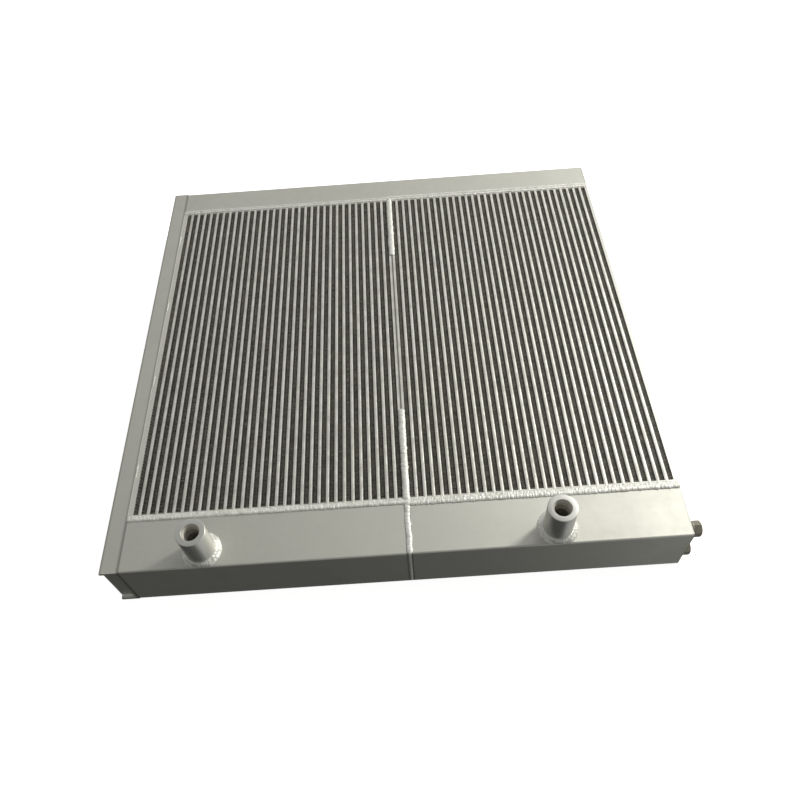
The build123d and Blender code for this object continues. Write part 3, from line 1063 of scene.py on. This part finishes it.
# ------------------------------------------------------------------ tanks and channel
@dataclass
class SheetWork:
    """Tanks, their end plates, the divider and the side channel."""

    butted: tuple[str, ...] = ("left_port_tank_shell",)
    butted_left: tuple[str, ...] = ("right_port_tank_shell", "return_tank_shell")
    channel: str = "left_side_channel"
    ends: tuple[str, ...] = ("port_tank_right_end", "return_tank_right_end",
                             "channel_near_end_plate", "channel_far_end_plate")
    plain: tuple[str, ...] = ("port_tank_left_end", "return_tank_left_end",
                              "port_tank_divider")

    def build(self, shop: Workshop) -> None:
        """Give each box-shaped piece satin sheet with its own worn, painted-highlight edges and
        painted shade lines at its ends.
        """
        # The joint values paint a shade line: the groove at butted ends, a fainter dark outline
        # at the tanks' right ends, and a wider dark outline along the channel's open side.
        looks = [(node, replace(SHEET, joint=(0.8, 0.8))) for node in self.butted]
        looks += [(node, replace(SHEET, joint=(0.8, 0.5))) for node in self.butted_left]
        looks.append((self.channel, replace(SHEET, joint=(0.6, 0.55), joint_width=0.0042)))
        looks += [(node, replace(SHEET, joint=(0.0, 0.0))) for node in self.ends]
        for node, finish in looks:
            shop.dress_node(node, finish.material(shop.effects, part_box(node), f"_{node}"))
        for node in self.plain:
            shop.dress_node(node, shop.materials[Slot.SHEET])


# ------------------------------------------------------------------ welds
class Bead(NamedTuple):
    """Half the width and the height of a bead."""

    half_width: float
    height: float


@dataclass
class WeldRun:
    """One bead: its line, its size and how its ripples lie."""

    line: list[Vector]
    size: Bead
    up: Point = (0, 0, 1)
    closed: bool = False
    centre: Point = (0, 0, 0)
    lean: float = 0.0


@dataclass
class WeldPiece:
    """Beads that make one piece, how they are laid and the CAD node they stand for."""

    name: str
    runs: list[WeldRun]
    node: str = ""
    pitch: float = 1.9 * MM
    jitter: float = 0.3 * MM


@dataclass
class WeldRule:
    """Lays overlapping ripples of weld metal along a line."""

    name: str = "weld_ripples"
    overlap: float = 2.2
    longest: float = 1.25

    def __post_init__(self) -> None:
        """Build the tree."""
        rule = GeometryRule(self.name)
        pitch = rule.size("Ripple Pitch", "Float", 0.003)
        ripple = rule.size("Ripple Size", "Vector", (0.003, 0.005, 0.002))
        up = rule.size("Up", "Vector", (0, 0, 1))
        jitter = rule.size("Jitter", "Float", 0.0004)
        centre = rule.size("Centre", "Vector", (0, 0, 0))
        lean = rule.size("Lean", "Float", 0.0)
        seed = rule.size("Seed", "Int", 0)
        material = rule.size("Material", "Material")
        curve = rule.add("GeometryNodeMeshToCurve", {"Mesh": rule.start.outputs["Geometry"]})
        even = rule.add("GeometryNodeResampleCurve", {"Curve": curve.outputs[0],
                                                      "Length": pitch}, mode="LENGTH")
        tangent = rule.add("GeometryNodeInputTangent").outputs[0]
        position = rule.add("GeometryNodeInputPosition").outputs[0]
        outward = rule.add("ShaderNodeVectorMath",
                           {0: rule.vector_math("SUBTRACT", position, centre)},
                           operation="NORMALIZE").outputs["Vector"]
        leaning = rule.vector_math("ADD", up, rule.scaled(outward, lean))
        upright = rule.add("FunctionNodeAlignRotationToVector", {"Vector": leaning},
                           axis="Z")
        along = rule.add("FunctionNodeAlignRotationToVector",
                         {"Rotation": upright.outputs[0], "Vector": tangent},
                         axis="X", pivot_axis="Z")
        spread = rule.add("FunctionNodeRandomValue",
                          {0: (0.9, 0.88, 0.9), 1: (1.15, 1.12, 1.1), "Seed": seed},
                          data_type="FLOAT_VECTOR")
        scale = rule.vector_math("MULTIPLY", ripple, spread.outputs[0])
        throw = rule.add("FunctionNodeRandomValue",
                         {0: (-1, -1, -0.5), 1: (1, 1, 0.5), "Seed": rule.math("ADD", seed, 7)},
                         data_type="FLOAT_VECTOR")
        moved = rule.add("GeometryNodeSetPosition",
                         {"Geometry": even.outputs[0],
                          "Offset": rule.scaled(throw.outputs[0], jitter)})
        drop = rule.add("GeometryNodeMeshUVSphere", {"Segments": 10, "Rings": 5,
                                                     "Radius": 1.0})
        laid = rule.add("GeometryNodeInstanceOnPoints",
                        {"Points": moved.outputs[0], "Instance": drop.outputs["Mesh"],
                         "Rotation": along.outputs[0], "Scale": scale})
        smooth = rule.add("GeometryNodeSetShadeSmooth", {"Geometry": laid.outputs[0]})
        rule.close(smooth.outputs[0], material)
        self.rule = rule

    def lay(self, shop: Workshop, piece: WeldPiece) -> bpy.types.Object:
        """Lay a piece's beads and join them.

        Args:
            shop: Gives the weld material.
            piece: The beads, their pitch and how far a ripple may wander.

        Returns:
            The joined beads as one plain mesh.
        """
        beads = []
        for number, run in enumerate(piece.runs):
            count = len(run.line)
            edges = [(i, i + 1) for i in range(count - 1)]
            if run.closed:
                edges.append((count - 1, 0))
            base = mesh_of(f"{piece.name}_line", run.line, [], edges)
            reach = min(self.overlap * piece.pitch, self.longest * run.size.half_width)
            beads.append(self.rule.run(base, f"{piece.name}_{number}",
                                       {"Ripple Pitch": piece.pitch,
                                        "Ripple Size": (reach, *run.size),
                                        "Up": run.up, "Jitter": piece.jitter,
                                        "Centre": run.centre, "Lean": run.lean,
                                        "Seed": 11 * number + len(piece.name),
                                        "Material": shop.materials[Slot.WELD]}))
        merged = bmesh.new()
        for bead in beads:
            merged.from_mesh(bead.data)
            bpy.data.objects.remove(bead)
        mesh = bpy.data.meshes.new(piece.name)
        merged.to_mesh(mesh)
        merged.free()
        for face in mesh.polygons:
            face.use_smooth = True
        return place(piece.name, mesh)


def straight(*corners: Point) -> list[Vector]:
    """Return a line through corners."""
    return [Vector(corner) for corner in corners]


def wandering(start: Point, end: Point, reach: Point, steps: int = 40) -> list[Vector]:
    """Return a line from start to end that strays sideways by up to reach."""
    first, last, stray = Vector(start), Vector(end), Vector(reach)
    return [first.lerp(last, i / steps)
            + stray * (0.6 * math.sin(6.8 * i / steps) + 0.4 * math.sin(23.0 * i / steps + 1))
            for i in range(steps + 1)]


def ring(centre: Vector, radius: float, axis: Point, steps: int = 48) -> list[Vector]:
    """Return a circle of points round a centre, square to an axis."""
    turn = Vector((0, 0, 1)).rotation_difference(Vector(axis)).to_matrix()
    return [centre + turn @ Vector((radius * math.cos(2 * math.pi * i / steps),
                                    radius * math.sin(2 * math.pi * i / steps), 0))
            for i in range(steps)]


@dataclass
class WeldWork:
    """Every weld on the cooler.

    An offset or inset is the distance of a bead's middle or end from the edge, plate or
    joint that the bead follows. A stray is how far a bead wanders to the side.
    """

    layout: Layout
    left_crown: Bead = Bead(3.6 * MM, 2.0 * MM)
    left_crown_offset: float = 2.4 * MM
    right_crown: Bead = Bead(5.2 * MM, 2.0 * MM)
    right_crown_offset: float = 0.8 * MM
    wash: Bead = Bead(4.6 * MM, 2.4 * MM)
    wash_offset: float = 5.4 * MM
    crown_stray: float = 0.35 * MM
    wash_stray: float = 0.5 * MM
    low_offset: float = 3.0 * MM
    low_level: float = 0.8 * MM
    low_height: float = 0.5 * MM
    edge_inset: float = 3.0 * MM
    end_inset: float = 5.0 * MM
    seam: Bead = Bead(6.2 * MM, 2.6 * MM)
    near_stitch: float = 168.0 * MM
    far_stitch: float = 166.0 * MM
    divider_top: Bead = Bead(4.8 * MM, 1.7 * MM)
    divider_front: Bead = Bead(1.9 * MM, 0.45 * MM)
    divider_stray: float = 0.9 * MM
    tank_corner: float = 2.0 * MM
    foot_lower: Bead = Bead(6.0 * MM, 2.6 * MM)
    foot_upper: Bead = Bead(4.8 * MM, 2.4 * MM)
    foot_front_inset: float = 6.5 * MM
    tack: Bead = Bead(1.5 * MM, 0.4 * MM)
    tack_length: float = 22.0 * MM
    tack_offset: float = 1.2 * MM
    tack_count: int = 4
    channel_end: Bead = Bead(3.2 * MM, 2.0 * MM)
    channel_end_offset: float = 1.6 * MM
    tank_end: Bead = Bead(2.0 * MM, 0.7 * MM)
    side_joint: Bead = Bead(3.2 * MM, 1.4 * MM)
    bung: Bead = Bead(1.8 * MM, 1.1 * MM)

    def _tank_joint(self, joint: float, to_core: int, bulk: float) -> list[WeldRun]:
        """Return the beads between a tank and the cores.

        Args:
            joint: Where the tank meets the cores along Y.
            to_core: Which way the cores lie, 1 or -1.
            bulk: How heavy the beads are, 1 for the full size.

        Returns:
            The beads above and below, and the upright one beside the right core.
        """
        at = self.layout
        x_from = at.left_end + self.edge_inset
        x_to = at.right_end - self.edge_inset
        wash_y = joint + to_core * self.wash_offset
        wash = Bead(self.wash.half_width, bulk * self.wash.height)
        runs = []
        for start, end, bead, offset in (
                (x_from, at.seam, self.left_crown, self.left_crown_offset),
                (at.seam, x_to, self.right_crown, self.right_crown_offset)):
            crown_y = joint + to_core * offset
            crown = wandering((start, crown_y, at.tank_top), (end, crown_y, at.tank_top),
                              (0, self.crown_stray, 0))
            beside = wandering((start, wash_y, at.core_top), (end, wash_y, at.core_top),
                               (0, self.wash_stray, 0))
            runs += [WeldRun(crown, Bead(bulk * bead.half_width, bulk * bead.height)),
                     WeldRun(beside, wash)]
        low_y = joint + to_core * self.low_offset
        runs.append(WeldRun(straight((x_from, low_y, self.low_level),
                                     (x_to, low_y, self.low_level)),
                            Bead(self.wash.half_width, self.low_height)))
        runs.append(WeldRun(straight((at.right_end, joint, self.end_inset),
                                     (at.right_end, joint, at.tank_top - self.end_inset)),
                            self.side_joint, up=(1, 0, 0)))
        return runs

    def _seam(self) -> list[WeldRun]:
        """Return the stitches on the seam between the two cores."""
        at = self.layout
        low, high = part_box("centre_seam_welds")
        inset = self.seam.half_width / 2
        runs = []
        for start, end in ((low.y, at.fin_start + self.near_stitch),
                           (at.fin_end - self.far_stitch, high.y)):
            for level, height in ((at.core_top + 0.2 * MM, self.seam.height),
                                  (self.low_level, self.low_height)):
                runs.append(WeldRun(straight((at.seam, start + inset, level),
                                             (at.seam, end - inset, level)),
                                    Bead(self.seam.half_width, height)))
        return runs

    def _divider(self) -> list[WeldRun]:
        """Return the bead over the divider's edge, on the top and down the front."""
        at = self.layout
        corner = self.tank_corner
        top = wandering((at.seam, at.front + 2.3 * corner, at.tank_top),
                        (at.seam, at.port_joint - corner, at.tank_top),
                        (self.divider_stray, 0, 0), 12)
        front = straight((at.seam, at.front, at.tank_top - corner),
                         (at.seam, at.front, self.end_inset))
        return [WeldRun(top, self.divider_top),
                WeldRun(front, self.divider_front, up=(0, -1, 0))]

    def _boss_foot(self, side: Side) -> list[WeldRun]:
        """Return the fillet round a boss's foot, in two passes."""
        low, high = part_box(f"{side.value}_port_boss")
        centre = Vector(((low.x + high.x) / 2, (low.y + high.y) / 2, low.z))
        radius = (high.x - low.x) / 2
        limit = self.layout.front + self.foot_front_inset
        lower, upper = (ring(centre + Vector((0, 0, rise)), radius + out, (0, 0, 1), 72)
                        for rise, out in ((0.8 * MM, 4.0 * MM), (3.4 * MM, 1.4 * MM)))
        lower = [Vector((p.x, max(p.y, limit), p.z)) for p in lower]
        return [WeldRun(lower, self.foot_lower, closed=True, centre=centre, lean=0.55),
                WeldRun(upper, self.foot_upper, closed=True, centre=centre, lean=1.6)]

    def _tacks(self) -> list[WeldRun]:
        """Return the short beads between the side channel and the left core."""
        at = self.layout
        x = at.left_end + self.tack_offset
        spacing = (at.return_joint - at.port_joint) / self.tack_count
        runs = []
        for i in range(self.tack_count):
            middle = at.port_joint + spacing * (i + 0.5)
            for level in (at.core_top + 0.1 * MM, at.core_bottom - 0.1 * MM):
                runs.append(WeldRun(straight((x, middle - self.tack_length / 2, level),
                                             (x, middle + self.tack_length / 2, level)),
                                    self.tack))
        return runs

    def _channel_ends(self) -> list[WeldRun]:
        """Return the beads along the flanges, outside the channel's end plates."""
        runs = []
        for node, outward in (("channel_near_end_plate", -1), ("channel_far_end_plate", 1)):
            low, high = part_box(node)
            face = (low.y if outward < 0 else high.y) + outward * self.channel_end_offset
            for level, up in ((low.z + self.low_level, 1), (high.z - self.low_level, -1)):
                runs.append(WeldRun(straight((low.x + self.end_inset, face, level),
                                             (high.x - self.edge_inset, face, level)),
                                    self.channel_end, up=(0, outward, up)))
        return runs

    def _bungs(self) -> list[WeldRun]:
        """Return the bead round each screw plug's bung."""
        runs = []
        for level in Level:
            low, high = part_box(f"{level.value}_plug_bung")
            centre = Vector((self.layout.right_end, (low.y + high.y) / 2,
                             (low.z + high.z) / 2))
            line = ring(centre, (high.y - low.y) / 2 + 0.8 * MM, (1, 0, 0), 36)
            runs.append(WeldRun(line, self.bung, up=(1, 0, 0), closed=True))
        return runs

    def _tank_end(self, tank: str) -> list[WeldRun]:
        """Return the bead round an end plate, on the tank's right end."""
        low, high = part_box(f"{tank}_tank_right_end")
        x = high.x
        line = straight((x, low.y, low.z), (x, high.y, low.z), (x, high.y, high.z),
                        (x, low.y, high.z))
        return [WeldRun(line, self.tank_end, up=(1, 0, 0), closed=True)]

    def pieces(self) -> list[WeldPiece]:
        """Return every welded piece, in the order in which it is laid."""
        at = self.layout
        found = [WeldPiece(f"{node}_beads", self._tank_joint(joint, to_core, bulk), node)
                 for node, joint, to_core, bulk in (
                     ("port_tank_core_welds", at.port_joint, 1, 1.0),
                     ("return_tank_core_welds", at.return_joint, -1, 0.6))]
        found += [WeldPiece("centre_seam_beads", self._seam(), "centre_seam_welds",
                            pitch=2.8 * MM, jitter=0.5 * MM),
                  WeldPiece("divider_seam_bead", self._divider(), "divider_seam_weld",
                            pitch=2.2 * MM)]
        found += [WeldPiece(f"{side.value}_boss_foot_bead", self._boss_foot(side),
                            f"{side.value}_port_boss_weld", pitch=1.8 * MM,
                            jitter=0.15 * MM) for side in Side]
        found += [WeldPiece("channel_tack_beads", self._tacks(), "channel_tack_welds",
                            pitch=2.0 * MM),
                  WeldPiece("channel_end_beads", self._channel_ends(),
                            "channel_end_welds", pitch=2.2 * MM),
                  WeldPiece("plug_bung_beads", self._bungs(), "plug_bung_welds",
                            pitch=1.6 * MM, jitter=0.1 * MM)]
        found += [WeldPiece(f"{tank}_tank_end_bead", self._tank_end(tank),
                            jitter=0.15 * MM) for tank in ("port", "return")]
        return found

    def build(self, shop: Workshop, rule: WeldRule) -> None:
        """Lay and register every weld.

        Args:
            shop: Dresses and registers the pieces.
            rule: The tree that lays ripples.
        """
        for piece in self.pieces():
            shop.register(rule.lay(shop, piece), Slot.WELD,
                          replaced=[piece.node] if piece.node else ())


# ------------------------------------------------------------------ port bosses
@dataclass
class PortBoss:
    """A turned boss with a threaded mouth."""

    side: Side
    thread_root: float = 13.22 * MM
    thread_crest: float = 12.06 * MM
    thread_pitch: float = 1.814 * MM
    thread_length: float = 20.0 * MM
    mouth_radius: float = 13.7 * MM
    mouth_depth: float = 1.2 * MM
    passage_radius: float = 11.0 * MM
    runout: float = 1.2 * MM
    edge: float = 1.0 * MM
    steps: int = 96

    def build(self, shop: Workshop) -> None:
        """Turn the boss, cut its thread and register it."""
        node = f"{self.side.value}_port_boss"
        low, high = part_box(node)
        radius = (high.x - low.x) / 2
        height = high.z - low.z
        centre = Matrix.Translation(((low.x + high.x) / 2, (low.y + high.y) / 2, low.z))
        soft = 0.3 * self.edge
        thread_end = height - self.mouth_depth - self.thread_length
        outline = [(self.passage_radius, 0), (radius, 0), (radius, height - self.edge),
                   (radius - 0.2 * self.edge, height - 0.45 * self.edge),
                   (radius - 0.55 * self.edge, height - 0.12 * self.edge),
                   (radius - self.edge, height), (self.mouth_radius + soft, height),
                   (self.mouth_radius, height - soft),
                   (self.thread_root, height - self.mouth_depth),
                   (self.thread_root, thread_end),
                   (self.passage_radius, thread_end - self.runout)]
        wall = turned(outline, self.steps, centre)
        ridge = screw_ridge(self.thread_root, self.thread_crest, self.thread_pitch,
                            self.thread_length - self.thread_pitch,
                            thread_end + self.thread_pitch / 2, centre)
        points, faces = joined([wall, ridge])
        mesh = finish_mesh(mesh_of(f"{node}_turned", points, faces))
        axis = centre.translation
        dressed = TURNED.material(shop.effects, label=f"_{node}",
                                  bore=(axis.x, axis.y, self.mouth_radius))
        shop.register(place(f"{node}_turned", mesh), Slot.BOSS, replaced=[node],
                      material=dressed)


# ------------------------------------------------------------------ screw plugs
@dataclass
class ScrewPlug:
    """A hexagon screw plug with its sealing ring and bung."""

    level: Level
    across_flats: float = 22.0 * MM
    hex_height: float = 11.0 * MM
    collar_radius: float = 12.0 * MM
    collar_height: float = 3.0 * MM
    shank_crest: float = 8.28 * MM
    shank_root: float = 7.45 * MM
    shank_lap: float = 0.1 * MM
    tip_taper: float = 0.6 * MM
    tip_length: float = 0.8 * MM
    thread_pitch: float = 25.4 / 19 * MM
    thread_inset: float = 1.1 * MM
    plain_length: float = 3.6 * MM
    corner_angle: float = 30.0
    top_share: float = 0.96
    turned_by: float = 30.0
    collar_bevel: float = 0.4 * MM
    seal_bore: float = 8.6 * MM
    seal_edge: float = 0.25 * MM
    steps: int = 72

    def _head(self, to_world: Matrix) -> tuple[list, list]:
        """Return the hexagon with its corners turned off, standing on the collar."""
        flat = self.across_flats / 2
        top_radius = self.top_share * flat
        slope = math.tan(math.radians(self.corner_angle))
        base = self.collar_height
        top = base + self.hex_height
        rings: list = [[], [], []]
        for i in range(self.steps):
            angle = 2 * math.pi * i / self.steps
            off_flat = ((angle + math.radians(30 + self.turned_by)) % (math.pi / 3)
                        - math.pi / 6)
            radius = flat / math.cos(off_flat)
            shoulder = top - (radius - top_radius) * slope
            for level, (r, z) in enumerate(((radius, base), (radius, shoulder),
                                            (top_radius, top))):
                rings[level].append(Vector((r * math.cos(angle), r * math.sin(angle), z)))
        points = [to_world @ p for level in rings for p in level]
        n = self.steps
        faces = [[n * k + i, n * k + (i + 1) % n, n * (k + 1) + (i + 1) % n, n * (k + 1) + i]
                 for k in range(2) for i in range(n)]
        faces += [list(range(2 * n, 3 * n)), list(reversed(range(n)))]
        return points, faces

    def _seal_ring(self, low: Vector, high: Vector, outward: Matrix) -> bpy.types.Mesh:
        """Make the sealing ring, with a soft lip inside.

        Args:
            low: Low corner of the ring.
            high: High corner of the ring.
            outward: Turns Z to the plug's axis.

        Returns:
            The ring's mesh.
        """
        outer = (high.y - low.y) / 2
        inner, soft, thick = self.seal_bore, self.seal_edge, high.x - low.x
        seat = Matrix.Translation((low.x, (low.y + high.y) / 2, (low.z + high.z) / 2))
        lip = turned([(inner, 0.35 * thick), (inner + soft, 0.1 * thick),
                      (inner + 4 * soft, 0), (outer - soft, 0), (outer, soft),
                      (outer, thick - soft), (outer - soft, thick),
                      (inner + 4 * soft, thick), (inner + soft, 0.9 * thick),
                      (inner, 0.65 * thick)], self.steps, seat @ outward)
        return finish_mesh(mesh_of(f"{self.level.value}_plug_seal_ring", *lip))

    def build(self, shop: Workshop) -> None:
        """Make the plug and its sealing ring and dress the bung."""
        plug = f"{self.level.value}_plug"
        low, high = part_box(plug)
        seal_low, seal_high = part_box(f"{plug}_seal")
        y, z = (seal_low.y + seal_high.y) / 2, (seal_low.z + seal_high.z) / 2
        collar_face = high.x - self.hex_height - self.collar_height
        outward = Matrix.Rotation(math.radians(90), 4, "Y")
        to_world = Matrix.Translation((collar_face, y, z)) @ outward
        tip = low.x - collar_face
        bevel = self.collar_bevel
        collar = turned([(0, 0), (self.collar_radius - bevel, 0), (self.collar_radius, bevel),
                         (self.collar_radius, self.collar_height - 2 * bevel),
                         (self.collar_radius - bevel, self.collar_height - 0.5 * bevel),
                         (self.collar_radius - 3 * bevel, self.collar_height),
                         (0, self.collar_height)], self.steps, to_world)
        shank = turned([(0, tip), (self.shank_root - self.tip_taper, tip),
                        (self.shank_root, tip + self.tip_length),
                        (self.shank_root, self.shank_lap), (0, self.shank_lap)],
                       self.steps, to_world)
        ridge = screw_ridge(self.shank_root, self.shank_crest, self.thread_pitch,
                            -tip - self.plain_length, tip + self.thread_inset, to_world)
        points, faces = joined([self._head(to_world), collar, shank, ridge])
        mesh = finish_mesh(mesh_of(f"{plug}_forged", points, faces), 25)
        shop.register(place(f"{plug}_forged", mesh), Slot.PLUG,
                      body=f"{self.level.value}_plug_screw", replaced=[plug])
        ring_mesh = self._seal_ring(seal_low, seal_high, outward)
        shop.register(place(ring_mesh.name, ring_mesh), Slot.SEAL,
                      body=f"{self.level.value}_plug_carrier", replaced=[f"{plug}_seal"])
        shop.dress_node(f"{plug}_bung", shop.materials[Slot.BOSS])


# ------------------------------------------------------------------ studio
@dataclass
class Studio:
    """Camera, floor, world and lights."""

    eye: Point = (0.0268, -0.8985, 1.1306)
    azimuth: float = 1.16
    elevation: float = 54.12
    roll: float = -4.82
    lens: float = 32.94
    floor_half: float = 30.0
    floor_drop: float = 0.4 * MM
    backdrop: float = 1.0
    low_light: float = 0.012
    right_bounce: float = 0.5
    sky_light: float = 0.19
    band_light: float = 0.32

    def camera(self) -> None:
        """Place the camera and make it the scene's."""
        lens = bpy.data.cameras.new("camera")
        lens.lens = self.lens
        lens.sensor_width = 36.0
        seen = bpy.data.objects.new("camera", lens)
        tilt = math.radians(90 - self.elevation)
        level = Euler((tilt, 0, math.radians(self.azimuth)), "XYZ").to_matrix()
        turn = Matrix.Rotation(math.radians(self.roll), 3, "Z")
        seen.matrix_world = Matrix.Translation(self.eye) @ (level @ turn).to_4x4()
        bpy.context.scene.collection.objects.link(seen)
        bpy.context.scene.camera = seen

    def floor(self) -> None:
        """Lay a plain pale floor, clear from below, that throws no light back."""
        half, level = self.floor_half, -self.floor_drop
        mesh = mesh_of("floor", [(-half, -half, level), (half, -half, level),
                                 (half, half, level), (-half, half, level)],
                       [[0, 1, 2, 3]])
        floor = place("floor", mesh)
        made = bpy.data.materials.new("pale_floor")
        made.use_nodes = True
        shader = made.node_tree.nodes["Principled BSDF"]
        shader.inputs["Base Color"].default_value = (0.9, 0.9, 0.9, 1)
        shader.inputs["Roughness"].default_value = 0.9
        shader.inputs["Emission Color"].default_value = (1, 1, 1, 1)
        shader.inputs["Emission Strength"].default_value = 0.8
        web = NodeBuilder(made.node_tree)
        below = web.add("ShaderNodeNewGeometry").outputs["Backfacing"]
        clear = web.add("ShaderNodeBsdfTransparent").outputs[0]
        either = web.add("ShaderNodeMixShader", {0: below, 1: shader.outputs[0], 2: clear})
        web.feed(made.node_tree.nodes["Material Output"].inputs["Surface"],
                 either.outputs[0])
        floor.data.materials.append(made)
        floor.visible_diffuse = False
        floor.visible_glossy = False

    def world(self) -> None:
        """Make a soft sky that the camera sees as a plain pale backdrop.

        The sky is brighter to the right and low down, and dimmer in front. Below the
        horizon hardly any light comes from elsewhere than the right.
        """
        sky = bpy.data.worlds.new("studio")
        bpy.context.scene.world = sky
        sky.use_nodes = True
        web = NodeBuilder(sky.node_tree)
        direction = web.add("ShaderNodeTexCoord").outputs["Generated"]
        x, y, z = web.split(direction)
        below = web.math("MULTIPLY_ADD", web.ramp(x, 0.15, 0.45), self.right_bounce,
                         self.low_light)
        across = web.math("MULTIPLY_ADD", web.ramp(x, -0.45, 0.6), self.sky_light,
                          self.sky_light)
        band = web.math("MULTIPLY", web.ramp(z, 0.95, 0.6), self.band_light)
        shaded = web.ramp(y, -0.5, 0.15, 0.5, 1.0)
        above = web.math("MULTIPLY", web.math("ADD", across, band), shaded)
        light = web.blend(web.ramp(z, -0.3, 0.3), below, above)
        seen = web.add("ShaderNodeLightPath").outputs["Is Camera Ray"]
        background = sky.node_tree.nodes["Background"]
        background.inputs["Color"].default_value = (1.0, 1.0, 0.985, 1)
        web.feed(background.inputs["Strength"], web.blend(seen, light, self.backdrop))

    def light(self, name: str, place_at: Point, target: Point, size: float,
              power: float, colour: Point = (1, 1, 1)) -> None:
        """Add one square soft light that looks at a target."""
        lamp = bpy.data.lights.new(name, "AREA")
        lamp.size = size
        lamp.energy = power
        lamp.color = colour
        source = bpy.data.objects.new(name, lamp)
        aim = Vector(target) - Vector(place_at)
        source.matrix_world = (Matrix.Translation(place_at)
                               @ aim.to_track_quat("-Z", "Y").to_matrix().to_4x4())
        bpy.context.scene.collection.objects.link(source)

    def build(self) -> None:
        """Set up the whole studio."""
        self.camera()
        self.floor()
        self.world()
        self.light("key", (2.6, 1.35, 2.0), (0.1, -0.1, 0.05), 0.5, 89, (1, 0.985, 0.915))
        self.light("sheen", (1.9, 1.7, 3.0), (0.2, -0.1, 0.05), 1.7, 13)
        bpy.context.scene.view_settings.view_transform = "Standard"


def main() -> None:
    """Load the frame, build every sub-assembly in order and light it."""
    logging.basicConfig(level=logging.INFO, format="%(name)s: %(message)s")
    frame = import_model()
    Studio().build()
    shop = Workshop(frame)
    layout = Layout.read()
    rows = RowRule().rule
    welds = WeldRule()
    CoreRows(Side.LEFT, air_rows=32).build(shop, rows)
    CoreRows(Side.RIGHT, air_rows=31).build(shop, rows)
    SheetWork().build(shop)
    for side in Side:
        PortBoss(side).build(shop)
    for level in Level:
        ScrewPlug(level).build(shop)
    WeldWork(layout).build(shop, welds)


if __name__ == "__main__":
    main()
